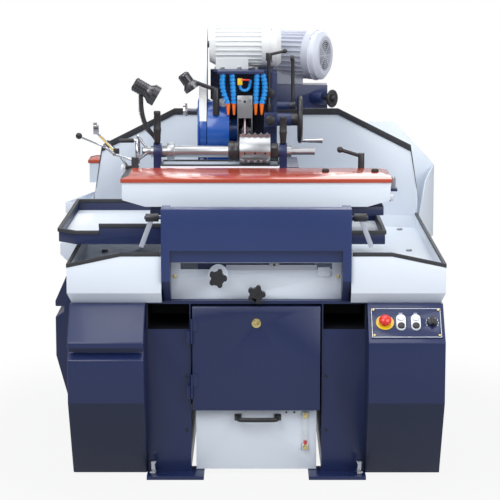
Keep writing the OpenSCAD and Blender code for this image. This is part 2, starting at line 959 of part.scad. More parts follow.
module lock_lever() {
    x0 = portal_x + lever_hub_start;
    difference() {
        union() {
            rod_x(x0, x0 + lever_hub_l, lever_hub_y, lever_hub_z, lever_hub_d);
            translate([x0 + lever_hub_l / 2, lever_hub_y - lever_bar_t / 2, lever_hub_z])
                rotate([0, atan2(lever_hub_z - lever_foot_z, lever_foot_x - x0 - lever_hub_l / 2), 0])
                    translate([0, 0, -lever_bar_w / 2])
                        cube([norm([lever_hub_z - lever_foot_z, lever_foot_x - x0 - lever_hub_l / 2]),
                            lever_bar_t, lever_bar_w]);
        }
        rod_x(x0 - cut, x0 + lever_hub_l + cut, lever_hub_y, lever_hub_z, lever_pin_d + 2 * run_gap);
    }
}

module left_lock_lever() { color("dimgray") mirror([1, 0, 0]) lock_lever(); }
module right_lock_lever() { color("dimgray") lock_lever(); }

// Centre door, hung on two pins at its left edge
module front_door() {
    color("midnightblue") {
        difference() {
            block(-door_w / 2, door_w / 2, door_front_y, front_y - slide_gap, door_z, door_top_z);
            rod_y(0, door_front_y - cut, front_y + cut, lock_z, lock_d + 2 * run_gap);
        }
        for (z = hinge_places) {
            rod_z(hinge_x, hinge_y, z + hinge_l + slide_gap, z + 2 * hinge_l, hinge_d);
            block(hinge_x + hinge_d / 4, hinge_x + hinge_d * 2, hinge_y, door_front_y, z + hinge_l + slide_gap,
                z + 2 * hinge_l);
        }
    }
}

module door_lock() {
    color("gold") difference() {
        rod_y(0, door_front_y - lock_t / 2, front_y - slide_gap, lock_z, lock_d);
        block(-lock_t / 4, lock_t / 4, door_front_y - lock_t, door_front_y - slide_gap, lock_z - lock_d / 4,
            lock_z + lock_d / 4);
    }
    color("dimgray") block(-lock_d / 2, lock_d / 2, front_y - slide_gap, front_y - slide_gap + lock_t / 2,
        lock_z - lock_d / 4, lock_z + lock_d / 4);
}

module coolant_tank() {
    level_gauge();
    tank_back_y = tank_face_y + tank_l;
    color("aliceblue") difference() {
        union() {
            block(-tank_w / 2, tank_w / 2, tank_face_y, tank_back_y, tank_low, tank_top);
            block(-tank_w / 2, tank_w / 2, tank_face_y, tank_face_y + tank_wall, tank_apron_low, tank_low);
        }
        block(-tank_w / 2 + tank_wall, tank_w / 2 - tank_wall, tank_face_y + tank_wall,
            tank_back_y - tank_wall, tank_low + tank_wall, tank_top + cut);
    }
    color("black") {
        for (side = [-1, 1]) {
            x = tank_handle_x + side * (tank_handle_l - tank_handle_t) / 2;
            block(x - tank_handle_t / 2, x + tank_handle_t / 2, tank_face_y - tank_handle_reach, tank_face_y,
                tank_handle_z - tank_handle_t, tank_handle_z + tank_handle_t);
        }
        block(tank_handle_x - tank_handle_l / 2 + tank_handle_t, tank_handle_x + tank_handle_l / 2 - tank_handle_t,
            tank_face_y - tank_handle_reach, tank_face_y - tank_handle_reach + tank_handle_t,
            tank_handle_z - tank_handle_t, tank_handle_z + tank_handle_t);
        for (sx = [-1, 1], y = [tank_face_y + caster_inset, tank_back_y - caster_inset]) {
            x = sx * (tank_w / 2 - caster_inset);
            rod_x(x - caster_w / 2, x + caster_w / 2, y, caster_d / 2, caster_d);
            block(x - caster_w / 4, x + caster_w / 4, y - caster_d / 4, y + caster_d / 4, caster_d, tank_low);
        }
    }
}

module level_gauge() {
    color("silver") {
        block(gauge_x - gauge_w / 2, gauge_x + gauge_w / 2, tank_face_y - gauge_t, tank_face_y, gauge_low,
            gauge_low + gauge_h / 6);
        block(gauge_x - gauge_w / 2, gauge_x + gauge_w / 2, tank_face_y - gauge_t, tank_face_y,
            gauge_low + gauge_h * 5 / 6, gauge_low + gauge_h);
        for (z = [gauge_low + gauge_h / 12, gauge_low + gauge_h * 11 / 12])
            rod_y(gauge_x, tank_face_y - gauge_t * 1.4, tank_face_y - gauge_t, z, gauge_bolt_d);
    }
    color("lightgray") rod_z(gauge_x, tank_face_y - gauge_t / 2, gauge_low + gauge_h / 6,
        gauge_low + gauge_h * 5 / 6, gauge_t * 0.8);
}

// Bed with two cross rails and the head pedestal in one casting
module bed() {
    color("midnightblue") {
        block(-bed_x, bed_x, bed_front_y, pedestal_front_y, deck_z, bed_z);
        difference() {
            block(-pedestal_left, pedestal_right, pedestal_front_y, pedestal_back_y, deck_z, pedestal_z);
            block(-slide_key_w / 2 - slide_gap, slide_key_w / 2 + slide_gap, pedestal_front_y - cut,
                pedestal_back_y + cut, pedestal_z - slide_key_h, pedestal_z + cut);
        }
    }
    color("silver") for (side = [-1, 1])
        block(side * rail_x - rail_w / 2, side * rail_x + rail_w / 2, bed_front_y, bed_back_y, bed_z,
            bed_z + cross_rail_h);
}

// Saddle casting with its four bearing blocks below the tray
module saddle() {
    color("midnightblue") {
        block(-saddle_body_x, saddle_body_x, saddle_front_y, saddle_back_y, tray_z + tray_t,
            saddle_z - saddle_flange_h);
        block(-saddle_left, saddle_right, saddle_front_y, saddle_back_y, saddle_z - saddle_flange_h, saddle_z);
    }
    color("silver") for (y = [x_rail_front_y, x_rail_back_y])
        block(-x_rail_l / 2, x_rail_l / 2, y - x_rail_w / 2, y + x_rail_w / 2, saddle_z, saddle_z + x_rail_h);
    color("dimgray") for (sx = [-1, 1], y = [saddle_front_y, saddle_back_y - block_l]) difference() {
        block(sx * rail_x - block_w / 2, sx * rail_x + block_w / 2, y, y + block_l, tray_z - block_h, tray_z);
        block(sx * rail_x - rail_w / 2 - slide_gap, sx * rail_x + rail_w / 2 + slide_gap, y - cut,
            y + block_l + cut, tray_z - block_h - cut, bed_z + cross_rail_h + slide_gap);
    }
}

function tray_plan(inset) = [
    [-tray_left + inset, tray_front_y + tray_corner + inset * 0.4], [-tray_left + tray_corner + inset * 0.4,
        tray_front_y + inset], [tray_right - inset, tray_front_y + inset],
    [tray_right - inset, tray_mid_back_y - inset], [tray_step_x - inset, tray_mid_back_y - inset],
    [tray_step_x - inset, tray_back_y - inset], [-tray_left + inset, tray_back_y - inset]];

module tray_ring(grow) {
    difference() {
        polygon(tray_plan(-grow));
        polygon(tray_plan(tray_t + grow));
    }
}

module tray_walls(grow, low, high, high_low, high_top) {
    difference() {
        translate([0, 0, low]) linear_extrude(high - low) tray_ring(grow);
        block(-tray_high_left, -tray_high_right, tray_front_y - edging_w, tray_front_y + edging_w, low - cut,
            high + cut);
    }
    intersection() {
        translate([0, 0, high_low]) linear_extrude(high_top - high_low) tray_ring(grow);
        block(-tray_high_left, -tray_high_right, tray_front_y - edging_w, tray_front_y + edging_w,
            high_low - cut, high_top + cut);
    }
}

module carriage_tray() {
    color("midnightblue") {
        translate([0, 0, tray_z]) linear_extrude(tray_t) polygon(tray_plan(0));
        tray_walls(0, tray_z + tray_t, tray_z + tray_h - edging_depth, tray_z + tray_t,
            tray_high_z - edging_depth);
    }
}

module tray_edging() {
    color("dimgray") difference() {
        tray_walls(edging_cover, tray_z + tray_h - edging_w, tray_z + tray_h, tray_high_z - edging_w,
            tray_high_z);
        tray_walls(0, tray_z, tray_z + tray_h - edging_depth, tray_z, tray_high_z - edging_depth);
    }
}

// Table plate on bearing blocks inside the cover
module work_table() {
    color("silver") block(-cover_l / 2 + cover_t, cover_l / 2 - cover_t, cover_front_y + cover_t,
        cover_back_y - cover_t, table_low, table_low + table_t);
    color("dimgray") for (sx = [-1, 1], y = [x_rail_front_y, x_rail_back_y]) difference() {
        block(sx * table_block_x - table_block_l / 2, sx * table_block_x + table_block_l / 2,
            y - table_block_w / 2, y + table_block_w / 2, saddle_z + x_rail_h / 3, table_low);
        block(sx * table_block_x - table_block_l, sx * table_block_x + table_block_l,
            y - x_rail_w / 2 - slide_gap, y + x_rail_w / 2 + slide_gap, saddle_z,
            saddle_z + x_rail_h + slide_gap);
    }
}

module slide_cover() {
    color("aliceblue") difference() {
        front_cut(cover_front_y, cover_back_y, [[-cover_l / 2, cover_low + cover_corner_z],
            [-cover_l / 2 + cover_corner_x, cover_low], [cover_l / 2 - cover_corner_x, cover_low],
            [cover_l / 2, cover_low + cover_corner_z], [cover_l / 2, cover_top], [-cover_l / 2, cover_top]]);
        block(-cover_l / 2 + cover_t, cover_l / 2 - cover_t, cover_front_y + cover_t, cover_back_y - cover_t,
            cover_low - cut, cover_top + cut);
        block(-cover_l, cover_l, cover_front_y + cover_t, cover_back_y - cover_t, cover_low - cut,
            cover_low + cover_corner_z);
    }
}

// Cap over a cover: a lip and a bevelled top
module cap_shape(x0, x1, y0, y1, z) {
    block(x0, x1, y0, y1, z, z + cap_h);
    intersection() {
        front_cut(y0, y1, [[x0, z + cap_h], [x0 + cap_bevel_in, z + cap_h + cap_bevel_h],
            [x1 - cap_bevel_in, z + cap_h + cap_bevel_h], [x1, z + cap_h]]);
        side_cut(x0, x1, [[y0, z + cap_h], [y0 + cap_bevel_in, z + cap_h + cap_bevel_h],
            [y1 - cap_bevel_in, z + cap_h + cap_bevel_h], [y1, z + cap_h]]);
    }
}

module cover_cap() {
    color("orangered") cap_shape(-cover_l / 2 - cap_lip, cover_l / 2 + cap_lip, cover_front_y - cap_lip,
        cover_back_y, cover_top);
    color("dimgray") block(feed_x - feed_post_w / 2, feed_x + feed_post_w / 2, feed_y - feed_post_w / 2,
        feed_y + feed_post_w / 2, cover_top + cap_h, feed_z - feed_eye_d / 2 - slide_gap);
    color("dimgray") for (side = [-1, 1]) {
        y = feed_y + side * feed_post_w * 0.38;
        block(feed_x - feed_post_w / 2, feed_x + feed_post_w / 2, y - feed_post_w * 0.12,
            y + feed_post_w * 0.12, feed_z - feed_eye_d / 2 - slide_gap, feed_z + feed_eye_d / 2);
    }
    color("silver") rod_y(feed_x, feed_y - feed_post_w * 0.26, feed_y + feed_post_w * 0.26, feed_z, feed_pin_d);
}

// Bent feed lever with its ball
module feed_lever() {
    end = [feed_x - feed_reach, feed_y, feed_z + feed_rise];
    bends = [for (i = [0, 1]) [feed_x - feed_reach * feed_bend_x_shares[i], feed_y,
        feed_z + feed_rise * feed_bend_z_shares[i]]];
    eye_w = feed_post_w * 0.5;
    start = [feed_x, feed_y, feed_z] + (bends[0] - [feed_x, feed_y, feed_z]) * feed_start_share;
    color("silver") {
        difference() {
            rod_y(feed_x, feed_y - eye_w / 2, feed_y + eye_w / 2, feed_z, feed_eye_d);
            rod_y(feed_x, feed_y - feed_post_w, feed_y + feed_post_w, feed_z, feed_pin_d + 2 * run_gap);
        }
        bar(start, bends[0], feed_rod_d);
        bar(bends[0], bends[1], feed_rod_d);
        bar(bends[1], end, feed_rod_d);
        for (p = bends) translate(p) rotate([90, 90, 0])
            cylinder(h = eye_w, d = feed_rod_d * 1.3, center = true);
    }
    color("black") translate(end) rotate([0, 0, 90]) sphere(d = feed_ball_d);
}

// Two arms on a beam, bored for the arbor
module support_arms() {
    color("midnightblue") {
        block(beam_left, beam_right, cover_back_y, beam_back_y, beam_low, beam_low + beam_h);
        for (x = [arm_left_x, arm_right_x]) difference() {
            union() {
                block(x - arm_t / 2, x + arm_t / 2, arbor_y - arm_w / 2, arbor_y + arm_w / 2,
                    beam_low + beam_h, arm_top);
                rod_x(x - arm_t / 2, x + arm_t / 2, arbor_y, arbor_z, arm_w * 1.2);
            }
            rod_x(x - arm_t, x + arm_t, arbor_y, arbor_z, arbor_d + 2 * run_gap);
            rod_z(x, grip_y, arbor_z, arm_top + arm_w, grip_stud_d + 2 * run_gap);
        }
        difference() {
            rod_z(lamp_x, lamp_y, arm_top - arm_over, lamp_foot_z, lamp_neck_d * 1.2);
            rod_x(arm_left_x - arm_t, arm_left_x + arm_t, arbor_y, arbor_z, arm_w * 1.2);
        }
    }
}

// Fluted taper grip standing on a clamp stud
module arm_grip(x, l) {
    base_z = lamp_foot_z + slide_gap;
    rod_z(x, grip_y, arbor_z + arbor_d / 2 + grip_stud_up, base_z, grip_stud_d);
    difference() {
        translate([x, grip_y, base_z + l * 0.2]) cylinder(h = l * 0.8, d = grip_d);
        for (i = [0:flutes - 1]) translate([x, grip_y, base_z]) rotate([0, 0, i * 360 / flutes])
            translate([grip_d * 0.54, 0, l * 0.1]) cylinder(h = l, d = flute_d);
    }
    translate([x, grip_y, base_z]) cylinder(h = l * 0.2, d1 = grip_d * 0.75, d2 = grip_d * 0.9);
}

module left_arm_grip() { color("black") arm_grip(arm_left_x, grip_left_l); }
module right_arm_grip() { color("black") arm_grip(arm_right_x, grip_right_l); }

module drip_tray() {
    color("aliceblue") difference() {
        block(drip_left, drip_right, drip_front_y, drip_back_y, drip_low, drip_low + drip_h);
        block(drip_left + drip_t, drip_right - drip_t, drip_front_y + drip_t, drip_back_y - drip_t,
            drip_low + drip_t, drip_low + drip_h + cut);
    }
}

// Work lamp: bent neck, then a flared head
module left_lamp() {
    points = [for (i = [0:3]) [lamp_x + lamp_rise * lamp_neck_x_shares[i], lamp_y,
        lamp_foot_z + lamp_rise * lamp_neck_z_shares[i]]];
    color("black") {
        rod_z(lamp_x, lamp_y, lamp_foot_z, points[0][2], lamp_neck_d * 1.2);
        for (i = [0:2]) bar(points[i], points[i + 1], lamp_neck_d);
        for (i = [0:2]) translate(points[i]) sphere(d = lamp_neck_d * 1.12);
        translate(points[3] + [0, 0, lamp_back_d / 2]) rotate([0, lamp_tilt, 0])
            lamp_head(lamp_head_l, lamp_back_d, lamp_front_d);
    }
}

module lamp_head(l, d_back, d_front) {
    translate([0, 0, -l * 0.15]) difference() {
        union() {
            cylinder(h = l * 0.45, d = d_back);
            translate([0, 0, l * 0.45]) cylinder(h = l * 0.25, d1 = d_back, d2 = d_front);
            translate([0, 0, l * 0.7]) cylinder(h = l * 0.3, d = d_front);
        }
        translate([0, 0, l * 0.75]) cylinder(h = l, d = d_front * 0.9);
    }
}

// Arbor shaft with flange, collars and nut
module arbor() {
    color("silver") {
        rod_x(arbor_left, arbor_mid_right, arbor_y, arbor_z, arbor_d);
        rod_x(arbor_mid_right, arbor_right, arbor_y, arbor_z, arbor_thin_d);
        rod_x(flange_x, flange_x + flange_t, arbor_y, arbor_z, flange_d);
    }
    color("gainsboro") difference() {
        union() {
            rod_x(collar_x, collar_x + collar_w * 0.45, arbor_y, arbor_z, collar_d);
            rod_x(collar_x + collar_w * 0.45, collar_x + collar_w * 0.55, arbor_y, arbor_z, collar_d * 0.92);
            rod_x(collar_x + collar_w * 0.55, collar_x + collar_w, arbor_y, arbor_z, collar_d);
        }
        rod_x(collar_x - cut, collar_x + collar_w + cut, arbor_y, arbor_z, arbor_d);
    }
    color("silver") difference() {
        translate([head_x + head_w, arbor_y, arbor_z]) rotate([0, 90, 0])
            cylinder(h = nut_w, d = nut_d, $fn = 6);
        rod_x(head_x + head_w - cut, head_x + head_w + nut_w + cut, arbor_y, arbor_z, arbor_d);
    }
}

// Places things at knife number i, with X along the arbor and Z out of the head
module at_knife(i) {
    translate([head_x, arbor_y, arbor_z]) rotate([i * 360 / knives + 20, 0, 0]) children();
}

module cutterhead() {
    color("gainsboro") {
        difference() {
            rod_x(head_x, head_x + head_w, arbor_y, arbor_z, head_r * 2);
            rod_x(head_x - cut, head_x + head_w + cut, arbor_y, arbor_z, arbor_d);
            for (i = [0:knives - 1]) at_knife(i) translate([-cut, -knife_t, head_r - knife_seat])
                cube([head_w + 2 * cut, knife_t * 4, knife_seat * 2]);
        }
    }
    color("silver") for (i = [0:knives - 1], j = [0:gibs - 1]) at_knife(i)
        translate([head_w * (j + 0.5) / gibs, knife_t * 2, head_r - knife_seat]) cylinder(h = gib_h, d = gib_d);
}

// Knife blanks with a toothed profile along their outer edge
module profile_knives() {
    pitch = head_w / knife_teeth;
    tip = knife_seat + knife_out;
    color("silver") for (i = [0:knives - 1]) at_knife(i) translate([0, -knife_t, head_r - knife_seat])
        rotate([90, 0, 0]) mirror([0, 0, 1]) linear_extrude(knife_t)
            polygon(concat([[0, 0]], [for (k = [0:knife_teeth - 1], s = [0, 1])
                [(k + s * 0.5) * pitch, tip * (1 - knife_tooth_share * (1 - s))]],
                [[head_w, tip * (1 - knife_tooth_share)], [head_w, 0]]));
}

// Wheel rim as a ring of round section, axis along X
module rim_x(x, y, z, d, section) {
    translate([x, y, z]) rotate([0, 90, 0]) rotate_extrude() translate([(d - section) / 2, 0]) circle(d = section);
}

module arbor_handwheel() {
    hub_x = arbor_left - crank_hub_l + cut * 4;
    color("silver") {
        rim_x(crank_wheel_x, arbor_y, arbor_z, crank_wheel_d, crank_rim_d);
        rod_x(hub_x, arbor_left, arbor_y, arbor_z, crank_hub_d);
        for (i = [0:spokes - 1]) translate([0, arbor_y, arbor_z]) rotate([i * 360 / spokes, 0, 0])
            bar([hub_x + crank_dish, 0, crank_hub_d * 0.3], [crank_wheel_x, 0, (crank_wheel_d - crank_rim_d) / 2],
                spoke_d);
        rod_x(crank_wheel_x - crank_rim_d, crank_wheel_x, arbor_y - crank_wheel_d * 0.28,
            arbor_z + crank_wheel_d * 0.35, crank_rim_d);
    }
    color("black") rod_x(crank_wheel_x - crank_rim_d - crank_grip_l, crank_wheel_x - crank_rim_d,
        arbor_y - crank_wheel_d * 0.28, arbor_z + crank_wheel_d * 0.35, crank_grip_d);
}

// Head slide with its key, rear column, side casting and brackets
module head_slide() {
    color("royalblue") difference() {
        union() {
            block(-pedestal_left, pedestal_right, pedestal_front_y, pedestal_back_y, slide_z,
                slide_z + slide_plate_h);
            block(-slide_key_w / 2, slide_key_w / 2, pedestal_front_y, pedestal_back_y,
                pedestal_z - slide_key_h + slide_gap, slide_z);
            block(column_left, column_right, column_front_y, column_back_y, slide_z + slide_plate_h,
                bracket_low + bracket_t);
            block(column_left, column_right, column_front_y, column_top_back_y, bracket_low,
                motor_plate_z);
            block(casting_x, casting_x + casting_w, casting_front_y, column_front_y, slide_z + slide_plate_h,
                casting_top);
            block(column_right, bracket_x + bracket_l, bracket_front_y, column_back_y, bracket_low,
                bracket_low + bracket_t);
            rod_x(casting_x + casting_w, hand_x - hand_hub_l, hand_y, hand_z, hand_boss_d);
            block(casting_x, casting_x + casting_w, hand_y - hand_boss_d * 0.54, casting_front_y,
                hand_z - hand_boss_d * 0.54, hand_z + hand_boss_d * 0.54);
            rod_x(casting_x + casting_w, long_x - long_boss_l / 4, long_y, long_low_z, long_boss_d);
            at_rear_wheel() cylinder(h = rear_wheel_boss_l * 2, d = rear_wheel_boss_d, center = true);
        }
        rod_x(casting_x, hand_x, hand_y, hand_z, hand_shaft_d + 2 * run_gap);
        rod_x(casting_x, long_x, long_y, long_low_z, stud_d + 2 * run_gap);
    }
    color("dimgray") {
        block(motor_plate_left, motor_plate_right, motor_plate_mid_y, column_top_back_y, motor_plate_z,
            motor_plate_z + motor_plate_t);
        block(hose_top_xs[0] - hose_bead_d, casting_x - slide_gap, motor_plate_front_y, motor_plate_mid_y,
            motor_plate_z, motor_plate_z + motor_plate_t);
    }
}

module drum_housing() {
    bore = spindle_d + 2 * run_gap;
    color("royalblue") difference() {
        union() {
            rod_x(drum_left, drum_right, wheel_y, wheel_z, drum_d);
            rod_x(drum_right, drum_right + drum_nose_l, wheel_y, wheel_z, drum_nose_d);
            block(drum_left, drum_right, wheel_y - drum_d / 4, wheel_y + drum_d / 4, slide_z + slide_plate_h,
                wheel_z);
            block(drum_left, drum_right, wheel_y, column_front_y, wheel_z - drum_d / 6, wheel_z + drum_d / 6);
        }
        rod_x(drum_left - cut, drum_right + drum_nose_l + cut, wheel_y, wheel_z, bore);
        for (i = [0:5]) translate([0, wheel_y, wheel_z]) rotate([i * 60 + 30, 0, 0])
            rod_x(drum_right - cut * 4, drum_right + cut, 0, drum_d * 0.42, stud_d);
    }
    color("silver") difference() {
        rod_x(ring_left, belt_left, wheel_y, wheel_z, ring_d);
        rod_x(ring_left - cut, belt_left + cut, wheel_y, wheel_z, belt_low_d * 0.8);
    }
}

// Sheet guard round the wheel, open at the front below the plate
module wheel_guard() {
    color("silver") {
        for (x = [guard_left, guard_right - guard_t]) difference() {
            block(x, x + guard_t, guard_front_y, guard_back_y, guard_low_z, guard_top_z);
            rod_x(x - cut, x + guard_t + cut, wheel_y, wheel_z, x == guard_left ? spindle_d * 2
                : wheel_collar_d + hole_depth);
        }
        block(guard_left + guard_t, guard_right - guard_t, guard_front_y, guard_front_y + guard_t,
            guard_plate_low_z, guard_top_z);
        block(guard_left + guard_t, guard_right - guard_t, guard_front_y + guard_t, guard_back_y,
            guard_top_z - guard_t, guard_top_z);
        block(guard_left + guard_t, guard_right - guard_t, guard_back_y - guard_t, guard_back_y,
            guard_low_z, guard_top_z - guard_t);
        block(guard_left, guard_right, guard_back_y, column_front_y, wheel_z, guard_top_z - guard_t);
    }
}

// Outline round two pulleys, in Y and Z
module belt_outline(low_d, top_d) {
    hull() {
        translate([wheel_y, wheel_z]) circle(d = low_d);
        translate([motor_y, motor_z]) circle(d = top_d);
    }
}

module along_x(x0, x1) {
    translate([x0, 0, 0]) rotate([90, 0, 90]) linear_extrude(x1 - x0) children();
}

module belt_guard() {
    color("white") difference() {
        along_x(belt_left, belt_left + belt_w) belt_outline(belt_low_d, belt_top_d);
        along_x(belt_left + belt_wall, belt_left + belt_w - belt_wall)
            belt_outline(belt_low_d - 2 * belt_wall, belt_top_d - 2 * belt_wall);
        rod_x(belt_left + belt_w / 2, belt_left + belt_w + cut, wheel_y, wheel_z, spindle_d * 1.4);
        rod_x(belt_left + belt_w / 2, belt_left + belt_w + cut, motor_y, motor_z, motor_shaft_d * 1.4);
    }
}

module drive_belt() {
    x0 = belt_left + (belt_w - pulley_w) / 2;
    color("black") difference() {
        along_x(x0, x0 + pulley_w) belt_outline(pulley_d + 2 * belt_gap + 2 * belt_t,
            motor_pulley_d + 2 * belt_gap + 2 * belt_t);
        along_x(x0 - cut, x0 + pulley_w + cut) belt_outline(pulley_d + 2 * belt_gap,
            motor_pulley_d + 2 * belt_gap);
    }
}

module wheel_spindle() {
    x0 = belt_left + (belt_w - pulley_w) / 2;
    color("silver") {
        rod_x(belt_left + belt_wall + slide_gap, spindle_nose, wheel_y, wheel_z, spindle_d);
        difference() {
            rod_x(x0, x0 + pulley_w, wheel_y, wheel_z, pulley_d);
            rod_x(x0 - cut, x0 + pulley_w + cut, wheel_y, wheel_z, spindle_d);
        }
        for (side = [-1, 1]) {
            x = wheel_x + side * (wheel_t + wheel_collar_t) / 2;
            difference() {
                rod_x(x - wheel_collar_t / 2, x + wheel_collar_t / 2, wheel_y, wheel_z, wheel_collar_d);
                rod_x(x - wheel_collar_t, x + wheel_collar_t, wheel_y, wheel_z, spindle_d);
            }
        }
    }
}

module grinding_wheel() {
    color("lightpink") difference() {
        rod_x(wheel_x - wheel_t / 2, wheel_x + wheel_t / 2, wheel_y, wheel_z, wheel_d);
        rod_x(wheel_x - wheel_t, wheel_x + wheel_t, wheel_y, wheel_z, spindle_d);
    }
}

// Finned motor body along Z: bell, fins and fan cowl with a domed edge
module motor_body(d, l, bell_l, cowl_l, fin_count) {
    core = d - 2 * fin_h;
    cylinder(h = bell_l, d1 = d * 0.78, d2 = d * 0.94);
    translate([0, 0, bell_l]) cylinder(h = l - bell_l - cowl_l, d = core);
    for (i = [0:fin_count - 1]) rotate([0, 0, i * 360 / fin_count])
        translate([core / 2 - cut, -fin_t / 2, bell_l - cut])
            cube([fin_h + cut - fin_t / 3, fin_t, l - bell_l - cowl_l + 2 * cut]);
    translate([0, 0, l - cowl_l]) difference() {
        union() {
            cylinder(h = cowl_l * 0.42, d = d);
            translate([0, 0, cowl_l * 0.42]) cylinder(h = cowl_l * 0.06, d = d * 1.04);
            translate([0, 0, cowl_l * 0.48]) cylinder(h = cowl_l * 0.3, d = d);
            translate([0, 0, cowl_l * 0.78]) cylinder(h = cowl_l * 0.22, d1 = d, d2 = d * 0.8);
        }
        translate([0, 0, cowl_l * 0.96]) cylinder(h = cowl_l, d = d * 0.62);
    }
}

module finned_motor() {
    color("whitesmoke") difference() {
        union() {
            translate([motor_left, motor_y, motor_z]) rotate([0, 90, 0])
                motor_body(motor_d, motor_right - motor_left, motor_bell_l, motor_cowl_l, fins);
            for (side = [-1, 1]) block(motor_left + motor_bell_l, motor_left + motor_bell_l * 6,
                motor_y + side * motor_d / 3 - fin_h, motor_y + side * motor_d / 3 + fin_h,
                motor_plate_z + motor_plate_t, motor_z - motor_d / 4);
        }
        rod_x(motor_left - cut, motor_left + motor_bell_l, motor_y, motor_z, motor_shaft_d + 2 * run_gap);
    }
}

module motor_shaft() {
    x0 = belt_left + (belt_w - pulley_w) / 2;
    color("silver") {
        rod_x(belt_left + belt_wall + slide_gap, motor_left + motor_bell_l - slide_gap, motor_y, motor_z,
            motor_shaft_d);
        difference() {
            rod_x(x0, x0 + pulley_w, motor_y, motor_z, motor_pulley_d);
            rod_x(x0 - cut, x0 + pulley_w + cut, motor_y, motor_z, motor_shaft_d);
        }
    }
}

module rear_motor() {
    color("lightsteelblue") {
        translate([motor2_x, motor2_y, motor2_z]) rotate([0, 0, motor2_yaw]) rotate([0, 90, 0])
            translate([0, 0, -motor2_l])
                motor_body(motor2_d, motor2_l, motor_bell_l, motor2_cowl_l, fins);
        block(column_right, bracket_x + bracket_l / 2, bracket_front_y + motor_d / 3,
            column_back_y, bracket_low + bracket_t, motor2_z - motor2_d / 4);
    }
}

// Beaded hose hanging from the motor plate to its nozzle
module bead_hose(top_x, tip_x, bow) {
    for (i = [0:hose_beads - 1]) {
        z = hose_top_z - (i + 1) * hose_pitch;
        share = (i + 0.5) / hose_beads;
        x = top_x + (tip_x - top_x) * share + bow * sin(share * 180);
        rod_z(x, hose_y, z, z + hose_pitch * 0.72, hose_bead_d);
        rod_z(x, hose_y, z + hose_pitch * 0.72 - slide_gap, z + hose_pitch + slide_gap, hose_neck_d);
    }
    low = hose_top_z - hose_beads * hose_pitch;
    translate([tip_x, hose_y, low - nozzle_l]) cylinder(h = nozzle_l + slide_gap, d1 = nozzle_tip_d, d2 = nozzle_d);
}

module coolant_hoses() {
    color("deepskyblue") difference() {
        for (i = [0:3]) bead_hose(hose_top_xs[i], hose_tip_xs[i], hose_bow * hose_bow_shares[i]);
        block(motor_plate_left, motor_plate_right, hose_y - hose_bead_d, hose_y + hose_bead_d,
            hose_top_z, hose_top_z + hose_bead_d);
    }
}

module right_lamp() {
    base_z = wheel_z + drum_d / 2 * 0.98;
    top_z = base_z + lamp2_base_h;
    y = wheel_y - drum_d * 0.41;
    tip = [lamp2_x - lamp2_arm_l, y, top_z + lamp2_arm_rise];
    color("black") {
        difference() {
            rod_z(lamp2_x, y, wheel_z + drum_d / 8, top_z, lamp2_base_d);
            rod_x(drum_left - cut, drum_right + cut, wheel_y, wheel_z, drum_d);
        }
        bar([lamp2_x, y, top_z - lamp_neck_d / 2], tip, lamp_neck_d);
        translate(tip) rotate([0, lamp_tilt + 25, 0]) lamp_head(lamp2_head_l, lamp2_back_d, lamp2_front_d);
    }
}

module infeed_handwheel() {
    shaft_end = casting_x + slide_gap;
    color("dimgray") {
        rim_x(hand_x, hand_y, hand_z, handwheel_d, hand_rim_d);
        rod_x(hand_x - hand_hub_l + slide_gap, hand_x + hand_rim_d / 2, hand_y, hand_z, hand_hub_d);
        for (i = [0:hand_spokes - 1]) translate([hand_x, hand_y, hand_z]) rotate([i * 360 / hand_spokes, 0, 0])
            rod_z(0, 0, hand_hub_d / 3, (handwheel_d - hand_rim_d) / 2, hand_rim_d * 0.7);
    }
    color("silver") {
        rod_x(shaft_end, hand_x - hand_hub_l + slide_gap, hand_y, hand_z, hand_shaft_d);
        translate([hand_x + hand_rim_d / 2 - cut, hand_y, hand_z - (handwheel_d - hand_rim_d) / 2])
            rotate([0, 90, 0]) cylinder(h = hand_handle_l, d1 = hand_handle_d * 0.6, d2 = hand_handle_d);
    }
}

module long_lever() {
    hub_x = long_x - long_boss_l / 4 + slide_gap;
    color("black") {
        rod_x(hub_x, hub_x + long_boss_d * 0.6, long_y, long_low_z, long_boss_d);
        rod_x(casting_x + slide_gap, hub_x, long_y, long_low_z, stud_d);
        difference() {
            union() {
                rod_z(hub_x + long_boss_d * 0.3, long_y, long_low_z, long_low_z + long_l, long_rod_d);
                rod_x(hub_x, hub_x + long_rod_d, long_y, long_low_z + long_l, long_eye_d);
            }
            rod_x(hub_x - cut, hub_x + long_eye_d, long_y, long_low_z + long_l, long_rod_d);
        }
    }
}

// Ratchet clamp lever on the beam at the right of the arbor
module right_clamp_lever() {
    z0 = beam_low + beam_h;
    y0 = (cover_back_y + beam_back_y) / 2;
    color("black") {
        translate([right_clamp_x, y0, z0 + slide_gap]) rotate([0, 0, 90])
            cylinder(h = arbor_z - z0 - slide_gap, d = hand_shaft_d);
        bar([right_clamp_x, y0, arbor_z - hand_shaft_d / 2], [right_clamp_x - hand_handle_l, y0,
            arbor_z + hand_shaft_d / 2], long_rod_d);
        translate([right_clamp_x - hand_handle_l, y0, arbor_z + hand_shaft_d / 2]) rotate([0, 0, 90])
            sphere(d = hand_shaft_d);
    }
}

